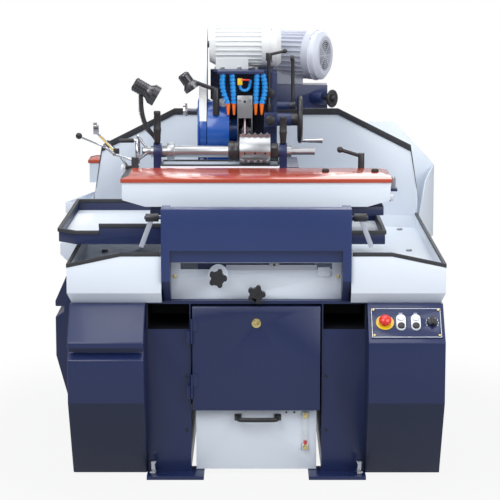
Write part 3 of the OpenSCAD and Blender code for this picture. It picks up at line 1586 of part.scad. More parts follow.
// Clamp lever standing on the side casting, turning about its stem
module top_clamp_lever() {
    z0 = hand_z + hand_boss_d * 0.54 + slide_gap;
    color("dimgray") {
        rod_z(top_clamp_x, top_clamp_y, z0, z0 + top_clamp_h, long_rod_d);
        rod_z(top_clamp_x, top_clamp_y, z0, z0 + top_clamp_h / 8, long_eye_d);
        rod_z(top_clamp_x, top_clamp_y, z0 + top_clamp_h * 0.87, z0 + top_clamp_h, long_eye_d);
        bar([top_clamp_x, top_clamp_y, z0 + top_clamp_h - long_rod_d / 2],
            [top_clamp_x + top_clamp_l, top_clamp_y, z0 + top_clamp_h + long_rod_d / 2], long_rod_d * 0.8);
        translate([top_clamp_x + top_clamp_l, top_clamp_y, z0 + top_clamp_h + long_rod_d / 2])
            rotate([0, 0, 90]) sphere(d = long_rod_d * 1.3);
    }
}
top_clamp_h = 205;
top_clamp_l = 56;

// Frame at the rear handwheel: Z along its shaft, out of the bracket
module at_rear_wheel() {
    translate([rear_wheel_x, rear_wheel_y, rear_wheel_z]) rotate([0, 0, -rear_wheel_yaw])
        rotate([0, 90, 0]) children();
}
rear_wheel_x = 226;
rear_wheel_y = bracket_front_y;
rear_wheel_z = bracket_low + bracket_t * 0.45;
rear_wheel_yaw = 36;
rear_wheel_d = 62;
rear_wheel_l = 58;
rear_wheel_boss_d = 50;
rear_wheel_boss_l = 24;

module rear_handwheel() {
    color("black") at_rear_wheel() {
        translate([0, 0, rear_wheel_boss_l + slide_gap]) cylinder(h = rear_wheel_l - rear_wheel_boss_l, d = stud_d);
        translate([0, 0, rear_wheel_l]) {
            cylinder(h = hand_rim_d, d = rear_wheel_d * 0.4);
            cylinder(h = hand_rim_d * 0.3, d = rear_wheel_d * 0.9);
            rotate_extrude() translate([rear_wheel_d * 0.43, 0]) circle(d = hand_rim_d * 0.7);
        }
    }
}

// Four-lobed knob on the left of the drum
module head_clamp_knob() {
    z = wheel_z + drum_d * 0.36;
    y = wheel_y - drum_d * 0.3;
    color("black") {
        along_x(knob4_x, knob4_x + knob4_t) translate([y, z]) union() {
            circle(d = knob4_d * 0.66);
            for (i = [0:3]) rotate(i * 90 + 20) translate([knob4_d * 0.3, 0]) circle(d = knob4_d * 0.4);
        }
    }
    color("silver") rod_x(knob4_x + knob4_t, ring_left - slide_gap, y, z, stud_d);
}
knob4_x = -257;
knob4_d = 49;
knob4_t = 14;

// Second covered slide at the left rear, on its tray
module rear_slide() {
    rear_tray();
    rear_cover();
}

module rear_cover() {
    z0 = rear_box_z;
    color("aliceblue") block(rear_box_x, rear_box_x + rear_box_l, rear_box_y, rear_box_y + rear_box_w, z0,
        z0 + rear_box_h);
    color("orangered") cap_shape(rear_box_x - cap_lip, rear_box_x + rear_box_l + cap_lip, rear_box_y - cap_lip,
        rear_box_y + rear_box_w + cap_lip, z0 + rear_box_h);
    color("midnightblue") block(rear_box_x + rear_box_l * 0.25, rear_box_x + rear_box_l * 0.75,
        rear_box_y + rear_box_w * 0.2, rear_box_y + rear_box_w * 0.8, rear_tray_z + tray_t, z0);
}
rear_box_x = -631;
rear_box_l = 181;
rear_box_y = 651;
rear_box_w = 110;
rear_box_z = 813;
rear_box_h = 74;
rear_tray_z = 726;
rear_tray_h = 41;
rear_tray_x = 703;
rear_tray_y = 440;
rear_tray_in = 614;
rear_tray_back_y = 770;
rear_tray_right = 440;
rear_tray_step_y = 622;

function rear_plan(inset) = [
    [-rear_tray_x + inset, rear_tray_y + inset], [-rear_tray_in - inset, rear_tray_y + inset],
    [-rear_tray_in - inset, rear_tray_step_y + inset * 0.4], [-rear_tray_right - inset,
        basin_rear_y + inset * 0.4], [-rear_tray_right - inset, rear_tray_back_y - inset],
    [-rear_tray_x + tray_corner * 1.5 + inset * 0.4, rear_tray_back_y - inset]];

module rear_tray() {
    color("midnightblue") {
        translate([0, 0, rear_tray_z]) linear_extrude(tray_t) polygon(rear_plan(0));
        translate([0, 0, rear_tray_z + tray_t]) linear_extrude(rear_tray_h - tray_t) difference() {
            polygon(rear_plan(0));
            polygon(rear_plan(tray_t));
        }
        block(-rear_tray_x + tray_corner / 2, -rear_tray_in - edging_w, rear_tray_y, back_y, bay_top_z,
            rear_tray_z);
    }
}

base_frame();
foot_plates();
level_bolts();
left_cabinet();
right_cabinet();
splash_basin();
splash_guard();
rubber_edging();
portal();
slotted_panel();
bed();
control_plate();
rear_slide();
coolant_tank();
front_door();
door_lock();
estop_button();
left_start_button();
left_stop_button();
right_start_button();
right_stop_button();
selector_knob();
travel_stop_knob();
panel_knob();
left_lock_lever();
right_lock_lever();
saddle();
carriage_tray();
tray_edging();
work_table();
slide_cover();
cover_cap();
support_arms();
drip_tray();
left_lamp();
arbor();
cutterhead();
profile_knives();
arbor_handwheel();
left_arm_grip();
right_arm_grip();
feed_lever();
head_slide();
drum_housing();
wheel_guard();
belt_guard();
drive_belt();
finned_motor();
rear_motor();
coolant_hoses();
right_lamp();
wheel_spindle();
grinding_wheel();
motor_shaft();
infeed_handwheel();
long_lever();
top_clamp_lever();
right_clamp_lever();
rear_handwheel();
head_clamp_knob();
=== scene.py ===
"""Looks of a profile cutter grinder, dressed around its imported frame."""

import json
import logging
import math
from dataclasses import dataclass, field
from enum import Enum
from typing import Any, Callable, Iterable, Sequence

import bpy
from mathutils import Matrix, Vector

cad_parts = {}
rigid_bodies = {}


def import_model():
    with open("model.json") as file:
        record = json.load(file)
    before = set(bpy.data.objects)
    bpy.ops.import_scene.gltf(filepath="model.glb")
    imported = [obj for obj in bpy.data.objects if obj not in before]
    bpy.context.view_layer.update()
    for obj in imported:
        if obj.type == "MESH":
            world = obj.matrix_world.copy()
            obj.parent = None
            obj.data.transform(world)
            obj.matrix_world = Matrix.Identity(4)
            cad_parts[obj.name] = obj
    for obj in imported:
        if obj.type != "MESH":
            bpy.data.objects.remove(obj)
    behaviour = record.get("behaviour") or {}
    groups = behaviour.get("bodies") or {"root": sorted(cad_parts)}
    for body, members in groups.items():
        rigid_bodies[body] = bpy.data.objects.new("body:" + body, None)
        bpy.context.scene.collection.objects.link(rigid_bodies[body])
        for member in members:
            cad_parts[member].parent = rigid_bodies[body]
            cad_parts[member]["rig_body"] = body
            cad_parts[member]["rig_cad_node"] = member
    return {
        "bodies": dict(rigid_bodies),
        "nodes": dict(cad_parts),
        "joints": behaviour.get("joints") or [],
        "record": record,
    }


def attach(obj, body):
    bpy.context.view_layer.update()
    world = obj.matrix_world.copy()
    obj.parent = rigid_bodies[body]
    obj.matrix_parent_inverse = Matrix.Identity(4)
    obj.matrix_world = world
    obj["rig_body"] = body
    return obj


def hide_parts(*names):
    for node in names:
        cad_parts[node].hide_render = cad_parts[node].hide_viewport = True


log = logging.getLogger("grinder")

Colour = tuple[float, float, float]
Point = tuple[float, float, float]
Box = tuple[Point, Point]
Profile = Sequence[tuple[float, float]]

MM = 0.001
UP = (0, 0, 1)
FORWARD = (0, -1, 0)
TURNED_SIDES = 48
GRIP_SIDES = 40
SCREW_SIDES = 24
HEX_SIDES = 6
TUBE_STEPS = 6


def linear(red: int, green: int, blue: int) -> Colour:
    """Turn a screen colour into the linear values that a shader takes.

    Args:
        red: Red, from 0 to 255.
        green: Green, from 0 to 255.
        blue: Blue, from 0 to 255.

    Returns:
        The same colour with linear values from 0 to 1.
    """
    return tuple(
        c / 12.92 if c <= 0.04045 else ((c + 0.055) / 1.055) ** 2.4
        for c in (red / 255, green / 255, blue / 255)
    )


class Slot(Enum):
    """Material slots of the record that the pieces take their finish from."""

    NAVY = "navy_paint"
    WHITE = "white_paint"
    ORANGE = "orange_paint"
    BLUE = "blue_paint"
    GREY = "grey_paint"
    MOTOR = "motor_paint"
    CAST = "cast_navy"
    STEEL = "steel"
    CHROME = "chrome"
    RUBBER = "rubber"
    BLACK = "black_plastic"
    PALE = "white_plastic"
    RED = "red_plastic"
    HOSE = "blue_plastic"
    BRASS = "brass"
    GRIT = "wheel_grit"
    DARK = "black_steel"


class Socket:
    """A shader value that can be used in Python expressions."""

    def __init__(self, graph: "Graph", link: Any) -> None:
        """Keep where this value comes from.

        Args:
            graph: The graph that new nodes are added to.
            link: The output socket of the node that gives the value.
        """
        self.graph = graph
        self.link = link

    def _math(self, operation: str, *values: Any) -> "Socket":
        """Add a Math node with the given operation and inputs."""
        return self.graph.node("ShaderNodeMath", {"operation": operation}, *values)

    def __add__(self, other: Any) -> "Socket":
        """Add."""
        return self._math("ADD", self, other)

    __radd__ = __add__

    def __mul__(self, other: Any) -> "Socket":
        """Multiply."""
        return self._math("MULTIPLY", self, other)

    __rmul__ = __mul__

    def ramp(self, low: float, high: float) -> "Socket":
        """Rise smoothly from 0 at low to 1 at high.

        Args:
            low: The value at which the ramp starts.
            high: The value at which it ends.

        Returns:
            The share from 0 to 1.
        """
        settings = {"interpolation_type": "SMOOTHSTEP"}
        return self.graph.node("ShaderNodeMapRange", settings, self, low, high)


class Graph:
    """The node tree of one material or of the world's light, built from expressions."""

    def __init__(self, name: str, world: bool = False) -> None:
        """Make an empty material or world with its output node.

        Args:
            name: Its name.
            world: Whether it is a world.
        """
        self.owner = bpy.data.worlds.new(name) if world else bpy.data.materials.new(name)
        self.owner.use_nodes = True
        self.tree = self.owner.node_tree
        self.tree.nodes.clear()
        self.output = self.tree.nodes.new("ShaderNodeOutputWorld" if world else "ShaderNodeOutputMaterial")

    def plug(self, target: Any, value: Any) -> None:
        """Link a value to a socket, or set the socket's own number or colour.

        Args:
            target: The input socket.
            value: A Socket, a number or a colour.
        """
        if isinstance(value, Socket):
            self.tree.links.new(value.link, target)
        elif isinstance(value, (tuple, list)) and target.type == "RGBA":
            target.default_value = (*value[:3], 1.0)
        else:
            target.default_value = value

    def node(self, kind: str, settings: dict[str, Any] | None = None, *values: Any,
             out: int | str = 0, **named: Any) -> Socket:
        """Add any node.

        Args:
            kind: Blender's type name of the node.
            settings: Attributes that are set before the inputs; stops are a ramp's places and
                colours, its two ends first.
            *values: Values or links of the first inputs, in order; None skips one.
            out: The output that is returned, by place or name.
            **named: Values or links by input name, with spaces as underscores.

        Returns:
            The chosen output.
        """
        made = self.tree.nodes.new(kind)
        for key, value in (settings or {}).items():
            if key == "stops":
                stops = made.color_ramp.elements
                for stop, (place, colour) in zip(stops, value[:2]):
                    stop.position, stop.color = place, (*colour, 1.0)
                for place, colour in value[2:]:
                    stops.new(place).color = (*colour, 1.0)
            else:
                setattr(made, key, value)
        for target, value in zip(made.inputs, values):
            if value is not None:
                self.plug(target, value)
        for key, value in named.items():
            self.plug(made.inputs[key.replace("_", " ")], value)
        return Socket(self, made.outputs[out])

    def place(self, scale: Point = (1, 1, 1), centre: Point = (0, 0, 0), turn: Point = (0, 0, 0)) -> Socket:
        """Give Object coordinates, moved by minus centre, then turned and scaled.

        Args:
            scale: Factors of the three axes.
            centre: The point that becomes the pattern's origin, in metres.
            turn: Angles about the three axes.

        Returns:
            The coordinates.
        """
        where = self.node("ShaderNodeTexCoord", out="Object")
        moved = self.node("ShaderNodeMapping", None, where, tuple(-c for c in centre))
        return self.node("ShaderNodeMapping", None, moved, Rotation=turn, Scale=scale)

    def noise(self, scale: float, detail: float = 3, where: Socket | None = None) -> Socket:
        """Give noise from 0 to 1.

        Args:
            scale: Cycles in a metre.
            detail: Octaves of finer noise.
            where: Coordinates other than the piece's own.

        Returns:
            The noise.
        """
        where = where or self.place()
        return self.node("ShaderNodeTexNoise", None, where, Scale=scale, Detail=detail)

    def mix(self, share: Any, first: Any, second: Any) -> Socket:
        """Mix two colours.

        Args:
            share: How much of the second colour, from 0 to 1.
            first: The first colour.
            second: The second colour.

        Returns:
            The mixed colour.
        """
        settings = {"data_type": "RGBA"}
        made = self.node("ShaderNodeMix", settings, share, out="Result")
        node = made.link.node
        sockets = [s for s in node.inputs if s.type == "RGBA"]
        self.plug(sockets[0], first)
        self.plug(sockets[1], second)
        return Socket(self, [s for s in node.outputs if s.type == "RGBA"][0])

    def bump(self, height: Socket, distance: float) -> Socket:
        """Turn a height into a normal; distance is the height's size in metres."""
        return self.node("ShaderNodeBump", None, Strength=1.0, Distance=distance, Height=height)

    def ray(self, kind: str) -> Socket:
        """Give 1 for rays of a kind, such as Is Camera Ray, and 0 for others."""
        return self.node("ShaderNodeLightPath", out=kind)

    def close(self, shader: Socket) -> Any:
        """Link the shader to the output and give the material or world."""
        self.plug(self.output.inputs["Surface"], shader)
        return self.owner


@dataclass(frozen=True)
class Paint:
    """Sprayed enamel or powder coat with a fine orange peel."""

    name: str
    colour: Colour
    roughness: float = 0.32
    coat: float = 0.35
    peel: float = 0.00006
    peel_scale: float = 420.0
    drift: float = 0.06

    def build(self) -> bpy.types.Material:
        """Make the material: colour drift, soft stains in the gloss and a peel in the normal.

        Returns:
            The material.
        """
        g = Graph(self.name)
        broad = g.noise(2.2, 2)
        fine = g.noise(38, 4)
        dark = tuple(c * (1 - self.drift) for c in self.colour)
        light = tuple(min(1.0, c * (1 + self.drift)) for c in self.colour)
        body = g.mix(broad.ramp(0.3, 0.7), dark, light)
        rough = fine * 0.1 + (self.roughness - 0.05)
        normal = g.bump(g.noise(self.peel_scale, 2), self.peel)
        return g.close(g.node("ShaderNodeBsdfPrincipled", None, Base_Color=body, Roughness=rough,
                              Normal=normal, Coat_Weight=self.coat, Coat_Roughness=0.12))


@dataclass(frozen=True)
class Casting:
    """Painted casting with the rough skin of the sand mould under the paint."""

    name: str
    colour: Colour
    roughness: float = 0.42
    grain: float = 0.0006

    def build(self) -> bpy.types.Material:
        """Make the material: two scales of lumps under a semi-gloss enamel.

        Returns:
            The material.
        """
        g = Graph(self.name)
        lumps = g.noise(55, 3)
        sand = g.noise(260, 2)
        deep = tuple(c * 0.8 for c in self.colour)
        body = g.mix(lumps.ramp(0.35, 0.65), deep, self.colour)
        rough = lumps * 0.16 + (self.roughness - 0.08)
        normal = g.bump(lumps * 0.7 + sand * 0.3, self.grain)
        return g.close(g.node("ShaderNodeBsdfPrincipled", None, Base_Color=body, Roughness=rough,
                              Normal=normal, Coat_Weight=0.25, Coat_Roughness=0.2))


@dataclass(frozen=True)
class Metal:
    """Ground, turned or plated metal; grain lines run along one axis."""

    name: str
    colour: Colour
    roughness: float = 0.24
    stretch: Point = (12.0, 900.0, 900.0)
    grain: float = 0.00002
    stain: float = 0.12

    def build(self) -> bpy.types.Material:
        """Make the material: tool marks in gloss and normal, and faint handling stains.

        Returns:
            The material.
        """
        g = Graph(self.name)
        marks = g.noise(1.0, 3, g.place(self.stretch))
        stains = g.noise(24, 4)
        dull = tuple(c * (1 - self.stain) for c in self.colour)
        body = g.mix(stains.ramp(0.4, 0.75), self.colour, dull)
        rough = marks * 0.14 + stains * 0.08 + (self.roughness - 0.1)
        normal = g.bump(marks, self.grain)
        return g.close(g.node("ShaderNodeBsdfPrincipled", None, Base_Color=body, Roughness=rough,
                              Normal=normal, Metallic=1.0))


@dataclass(frozen=True)
class Plastic:
    """Moulded plastic or rubber with a spark-eroded grain."""

    name: str
    colour: Colour
    roughness: float = 0.4
    grain: float = 0.00008
    scale: float = 900.0
    coat: float = 0.0

    def build(self) -> bpy.types.Material:
        """Make the material: fine grain, dusty drift in colour and gloss.

        Returns:
            The material.
        """
        g = Graph(self.name)
        dust = g.noise(30, 4)
        grain = g.noise(self.scale, 2)
        pale = tuple(min(1.0, c * 1.15 + 0.006) for c in self.colour)
        body = g.mix(dust.ramp(0.45, 0.8), self.colour, pale)
        rough = dust * 0.12 + (self.roughness - 0.06)
        normal = g.bump(grain, self.grain)
        return g.close(g.node("ShaderNodeBsdfPrincipled", None, Base_Color=body, Roughness=rough,
                              Normal=normal, Coat_Weight=self.coat))


@dataclass(frozen=True)
class Grit:
    """Vitrified grinding wheel: coloured grains in a pale bond."""

    name: str
    colour: Colour
    bond: Colour

    def build(self) -> bpy.types.Material:
        """Make the material: cells of grain with pits between them.

        Returns:
            The material.
        """
        g = Graph(self.name)
        cells = g.node("ShaderNodeTexVoronoi", None, g.place(), Scale=700.0)
        body = g.mix(cells.ramp(0.1, 0.5), self.colour, self.bond)
        normal = g.bump(cells, 0.0004)
        return g.close(g.node("ShaderNodeBsdfPrincipled", None, Base_Color=body, Roughness=0.85,
                              Normal=normal))


@dataclass(frozen=True)
class Clear:
    """Glass or clear plastic, thin enough to look through."""

    name: str
    colour: Colour
    roughness: float = 0.05

    def build(self) -> bpy.types.Material:
        """Make the material: a transmissive shell with faint streaks in its gloss.

        Returns:
            The material.
        """
        g = Graph(self.name)
        rough = g.noise(60, 3) * 0.06 + self.roughness
        return g.close(g.node("ShaderNodeBsdfPrincipled", None, Base_Color=self.colour, Roughness=rough,
                              Transmission_Weight=1.0, IOR=1.2))


FINISHES = {
    Slot.NAVY: Paint("navy_enamel", linear(24, 38, 82), roughness=0.38, coat=0.25),
    Slot.WHITE: Paint("white_powder", linear(232, 240, 250), roughness=0.36, coat=0.2, drift=0.015),
    Slot.ORANGE: Paint("orange_gloss", linear(186, 72, 44), roughness=0.22, coat=0.55, drift=0.03),
    Slot.BLUE: Paint("blue_gloss", linear(28, 84, 170), roughness=0.22, coat=0.6),
    Slot.GREY: Paint("grey_enamel", linear(206, 210, 222), roughness=0.4, coat=0.15, drift=0.02),
    Slot.MOTOR: Paint("pale_enamel", linear(236, 239, 240), roughness=0.38, coat=0.15, drift=0.02),
    Slot.CAST: Casting("navy_casting", linear(31, 46, 92)),
    Slot.STEEL: Metal("ground_steel", (0.4, 0.41, 0.43), roughness=0.34),
    Slot.CHROME: Metal("polished_chrome", (0.55, 0.56, 0.59), roughness=0.14, grain=0.000005, stain=0.04),
    Slot.RUBBER: Plastic("black_rubber", linear(52, 53, 57), roughness=0.55, scale=500.0),
    Slot.BLACK: Plastic("black_moulding", linear(36, 36, 39), roughness=0.4),
    Slot.PALE: Plastic("white_moulding", linear(236, 240, 246), roughness=0.3, coat=0.3),
    Slot.RED: Plastic("red_moulding", linear(222, 44, 30), roughness=0.25, coat=0.5),
    Slot.HOSE: Plastic("blue_moulding", linear(20, 146, 226), roughness=0.26, coat=0.5),
    Slot.BRASS: Metal("yellow_brass", (0.83, 0.68, 0.3), roughness=0.25),
    Slot.GRIT: Grit("rose_grit", linear(214, 160, 186), linear(240, 214, 226)),
    Slot.DARK: Paint("black_lacquer", linear(40, 40, 44), roughness=0.36, coat=0.2),
}


class Palette:
    """Builds each finish once and hands it out."""

    def __init__(self) -> None:
        """Start with no material built."""
        self.made: dict[Any, bpy.types.Material] = {}

    def get(self, finish: Any) -> bpy.types.Material:
        """Give the material of a slot or of a finish of its own.

        Args:
            finish: The slot, or the finish.

        Returns:
            The material, made on the first call.
        """
        if finish not in self.made:
            source = FINISHES[finish] if isinstance(finish, Slot) else finish
            self.made[finish] = source.build()
        return self.made[finish]


PALETTE = Palette()


class Bench:
    """The modelling bench: primitives, edit-mode steps and finishing, by operators."""

    @staticmethod
    def clear() -> None:
        """Deselect everything."""
        if bpy.context.mode != "OBJECT":
            bpy.ops.object.mode_set(mode="OBJECT")
        bpy.ops.object.select_all(action="DESELECT")

    @staticmethod
    def take(piece: bpy.types.Object) -> None:
        """Make one piece the only selected one, and active.

        Args:
            piece: The piece.
        """
        Bench.clear()
        piece.select_set(True)
        bpy.context.view_layer.objects.active = piece

    @staticmethod
    def settle(piece: bpy.types.Object, name: str) -> bpy.types.Object:
        """Name a new piece and move its place into its mesh.

        Args:
            piece: The piece.
            name: Its name.

        Returns:
            The piece.
        """
        piece.name = name
        piece.data.name = name
        Bench.take(piece)
        bpy.ops.object.transform_apply(location=True, rotation=True, scale=True)
        return piece

    @staticmethod
    def block(name: str, low: Point, high: Point) -> bpy.types.Object:
        """Add a block.

        Args:
            name: Its name.
            low: Its lowest corner, in metres.
            high: Its highest corner, in metres.

        Returns:
            The block.
        """
        Bench.clear()
        middle = [(a + b) / 2 for a, b in zip(low, high)]
        size = [b - a for a, b in zip(low, high)]
        bpy.ops.mesh.primitive_cube_add(size=1, location=middle, scale=size)
        return Bench.settle(bpy.context.active_object, name)

    @staticmethod
    def rod(name: str, start: Point, end: Point, radius: float, sides: int = 32) -> bpy.types.Object:
        """Add a round bar.

        Args:
            name: Its name.
            start: The middle of one end, in metres.
            end: The middle of the other end, in metres.
            radius: Its radius, in metres.
            sides: Faces round it.

        Returns:
            The bar.
        """
        Bench.clear()
        a, b = Vector(start), Vector(end)
        turn = (b - a).to_track_quat("Z", "Y").to_euler()
        bpy.ops.mesh.primitive_cylinder_add(vertices=sides, radius=radius, depth=(b - a).length,
                                            location=(a + b) / 2, rotation=turn)
        return Bench.settle(bpy.context.active_object, name)

    @staticmethod
    def ball(name: str, centre: Point, radius: float, sides: int = 32) -> bpy.types.Object:
        """Add a ball.

        Args:
            name: Its name.
            centre: Its centre, in metres.
            radius: Its radius, in metres.
            sides: Faces round it.

        Returns:
            The ball.
        """
        Bench.clear()
        bpy.ops.mesh.primitive_uv_sphere_add(segments=sides, ring_count=sides // 2, radius=radius,
                                             location=centre)
        return Bench.settle(bpy.context.active_object, name)

    @staticmethod
    def lathe(name: str, centre: Point, axis: Point, profile: Profile, sides: int) -> bpy.types.Object:
        """Turn a profile round an axis.

        Args:
            name: The piece's name.
            centre: A point on the axis, from which the profile is measured.
            axis: The direction of the axis.
            profile: Pairs of place along the axis and radius, in metres.
            sides: Steps round the axis.

        Returns:
            The turned piece, closed where the profile ends on the axis.
        """
        Bench.clear()
        along = Vector(axis).normalized()
        across = along.orthogonal().normalized()
        points = [Vector(centre) + along * t + across * r for t, r in profile]
        bpy.ops.mesh.primitive_plane_add(size=1, location=(0, 0, 0))
        piece = bpy.context.active_object
        bpy.ops.object.mode_set(mode="EDIT")
        bpy.ops.mesh.select_mode(type="VERT")
        bpy.ops.mesh.select_all(action="SELECT")
        bpy.ops.mesh.merge(type="CENTER")
        bpy.ops.transform.translate(value=points[0])
        for last, point in zip(points, points[1:]):
            bpy.ops.mesh.extrude_vertices_move(TRANSFORM_OT_translate={"value": point - last})
        bpy.ops.mesh.select_all(action="SELECT")
        bpy.ops.mesh.spin(steps=sides, angle=math.tau, center=centre, axis=along)
        bpy.ops.mesh.select_all(action="SELECT")
        bpy.ops.mesh.remove_doubles(threshold=1e-6)
        bpy.ops.mesh.normals_make_consistent(inside=False)
        bpy.ops.object.mode_set(mode="OBJECT")
        return Bench.settle(piece, name)

    @staticmethod
    def ring(name: str, centre: Point, axis: Point, radius: float, section: float,
             sides: int = 64) -> bpy.types.Object:
        """Add a ring of round section.

        Args:
            name: Its name.
            centre: Its centre, in metres.
            axis: The direction of its axis.
            radius: Radius of the section's middle, in metres.
            section: Radius of the section, in metres.
            sides: Faces round the axis.

        Returns:
            The ring.
        """
        Bench.clear()
        turn = Vector(axis).to_track_quat("Z", "Y").to_euler()
        bpy.ops.mesh.primitive_torus_add(major_radius=radius, minor_radius=section, major_segments=sides,
                                         minor_segments=16, location=centre, rotation=turn)
        return Bench.settle(bpy.context.active_object, name)

    @staticmethod
    def tube(name: str, points: Sequence[Point], radius: float, smooth: bool = True) -> bpy.types.Object:
        """Draw a round tube along points.

        Args:
            name: Its name.
            points: Its route, in metres.
            radius: Its radius, in metres.
            smooth: Whether the route's corners are rounded.

        Returns:
            The tube, closed at its ends.
        """
        Bench.clear()
        bpy.ops.curve.primitive_nurbs_path_add(location=(0, 0, 0))
        piece = bpy.context.active_object
        old = piece.data.splines[0]
        piece.data.splines.remove(old)
        spline = piece.data.splines.new("NURBS" if smooth else "POLY")
        spline.points.add(len(points) - 1)
        for target, point in zip(spline.points, points):
            target.co = (*point, 1)
        spline.use_endpoint_u = True
        spline.order_u = min(4, len(points))
        piece.data.resolution_u = TUBE_STEPS
        piece.data.bevel_depth = radius
        piece.data.bevel_resolution = TUBE_STEPS
        piece.data.use_fill_caps = True
        Bench.take(piece)
        bpy.ops.object.convert(target="MESH")
        return Bench.settle(bpy.context.active_object, name)

    @staticmethod
    def bevel(piece: bpy.types.Object, width: float, segments: int = 2, angle: float = 30) -> None:
        """Round the edges sharper than an angle, by a modifier that is applied.

        Args:
            piece: The piece.
            width: Width of the rounding, in metres.
            segments: Steps in the rounding.
            angle: The angle, in degrees.
        """
        Bench.take(piece)
        edge = piece.modifiers.new("round", "BEVEL")
        edge.width = width
        edge.segments = segments
        edge.limit_method = "ANGLE"
        edge.angle_limit = math.radians(angle)
        edge.use_clamp_overlap = True
        bpy.ops.object.modifier_apply(modifier=edge.name)

    @staticmethod
    def smooth(piece: bpy.types.Object, angle: float = 35) -> None:
        """Shade smooth, but for edges sharper than an angle in degrees."""
        Bench.take(piece)
        bpy.ops.object.shade_smooth_by_angle(angle=math.radians(angle))

    @staticmethod
    def join(name: str, parts: Sequence[bpy.types.Object]) -> bpy.types.Object:
        """Join parts into one piece.

        Args:
            name: Its name.
            parts: The parts, which are used up.

        Returns:
            The piece.
        """
        Bench.clear()
        for part in parts:
            part.select_set(True)
        bpy.context.view_layer.objects.active = parts[0]
        bpy.ops.object.join()
        return Bench.settle(bpy.context.active_object, name)

    @staticmethod
    def copies(piece: bpy.types.Object, moves: Iterable[Matrix]) -> list[bpy.types.Object]:
        """Copy a piece, each copy with its own mesh.

        Args:
            piece: The piece, which stays.
            moves: The move or turn of each copy.

        Returns:
            The copies.
        """
        made = []
        for move in moves:
            Bench.take(piece)
            bpy.ops.object.duplicate(linked=False)
            twin = bpy.context.active_object
            twin.data.transform(move)
            made.append(twin)
        return made

    @staticmethod
    def delete(piece: bpy.types.Object, chosen: Callable[[Any], bool]) -> None:
        """Delete the chosen faces of a piece.

        Args:
            piece: The piece.
            chosen: A test of one face.
        """
        Bench.take(piece)
        bpy.ops.object.mode_set(mode="EDIT")
        bpy.ops.mesh.select_mode(type="FACE")
        bpy.ops.mesh.select_all(action="DESELECT")
        bpy.ops.object.mode_set(mode="OBJECT")
        for face in piece.data.polygons:
            face.select = chosen(face)
        bpy.ops.object.mode_set(mode="EDIT")
        bpy.ops.mesh.delete(type="FACE")
        bpy.ops.object.mode_set(mode="OBJECT")


def dress(piece: bpy.types.Object, finish: Any, body: str) -> bpy.types.Object:
    """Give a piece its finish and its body.

    Args:
        piece: The piece.
        finish: A slot, or a finish of its own.
        body: The body that it rides on.

    Returns:
        The piece.
    """
    if not piece.data.materials:
        piece.data.materials.append(PALETTE.get(finish))
    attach(piece, body)
    log.info("piece %s on %s", piece.name, body)
    return piece


class Skins:
    """Finished surfaces over the frame's own nodes."""

    def __init__(self, frame: dict[str, Any]) -> None:
        """Keep the nodes, and each node's body and slot.
        """
        self.nodes = frame["nodes"]
        self.body = {n: b for b, names in frame["record"]["behaviour"]["bodies"].items() for n in names}
        self.slot = {s["node"]: Slot(s["material_slot"]) for s in frame["record"]["subparts"]}

    def plain(self, *names: str) -> None:
        """Give nodes the finish of their slot and leave their shape.

        Args:
            *names: The nodes.
        """
        for name in names:
            node = self.nodes[name]
            material = PALETTE.get(self.slot[name])
            node.data.materials.clear()
            node.data.materials.append(material)
            log.info("node %s keeps its shape", name)

    def rest(self) -> None:
        """Give every node that has no skin the finish of its slot."""
        self.plain(*[name for name, node in self.nodes.items() if not node.hide_render])

    def rounded(self, name: str, width: float, segments: int = 2, angle: float = 30) -> bpy.types.Object:
        """Stand a copy with rounded edges in for a node.

        Args:
            name: The node.
            width: Width of the rounding, in metres.
            segments: Steps in the rounding.
            angle: Edges sharper than this are rounded, in degrees.

        Returns:
            The piece that replaces the node.
        """
        piece = self.copy(name)
        Bench.bevel(piece, width, segments, angle)
        Bench.smooth(piece, 40)
        piece.data.materials.clear()
        piece.data.materials.append(PALETTE.get(self.slot[name]))
        dress(piece, self.slot[name], self.body[name])
        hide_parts(name)
        return piece

    def copy(self, name: str) -> bpy.types.Object:
        """Copy a node's mesh, merge it and clear its flat faces of spare edges.

        Args:
            name: The node.

        Returns:
            The copy, as a piece of its own.
        """
        Bench.clear()
        source = self.nodes[name]
        piece = bpy.data.objects.new(name + "_skin", source.data.copy())
        bpy.context.scene.collection.objects.link(piece)
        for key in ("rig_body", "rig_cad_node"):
            if key in piece:
                del piece[key]
        Bench.take(piece)
        bpy.ops.object.mode_set(mode="EDIT")
        bpy.ops.mesh.select_all(action="SELECT")
        if piece.data.has_custom_normals:
            bpy.ops.mesh.customdata_custom_splitnormals_clear()
        bpy.ops.mesh.remove_doubles(threshold=2e-5)
        bpy.ops.mesh.dissolve_limited(angle_limit=math.radians(0.5))
        bpy.ops.object.mode_set(mode="OBJECT")
        return piece


def repaint(piece: bpy.types.Object, finish: Any, chosen: Callable[[Any], bool]) -> None:
    """Give the chosen faces of a piece a second finish.

    Args:
        piece: The piece.
        finish: A slot, or a finish of its own.
        chosen: A test of one face.
    """
    piece.data.materials.append(PALETTE.get(finish))
    place = len(piece.data.materials) - 1
    for face in piece.data.polygons:
        if chosen(face):
            face.material_index = place


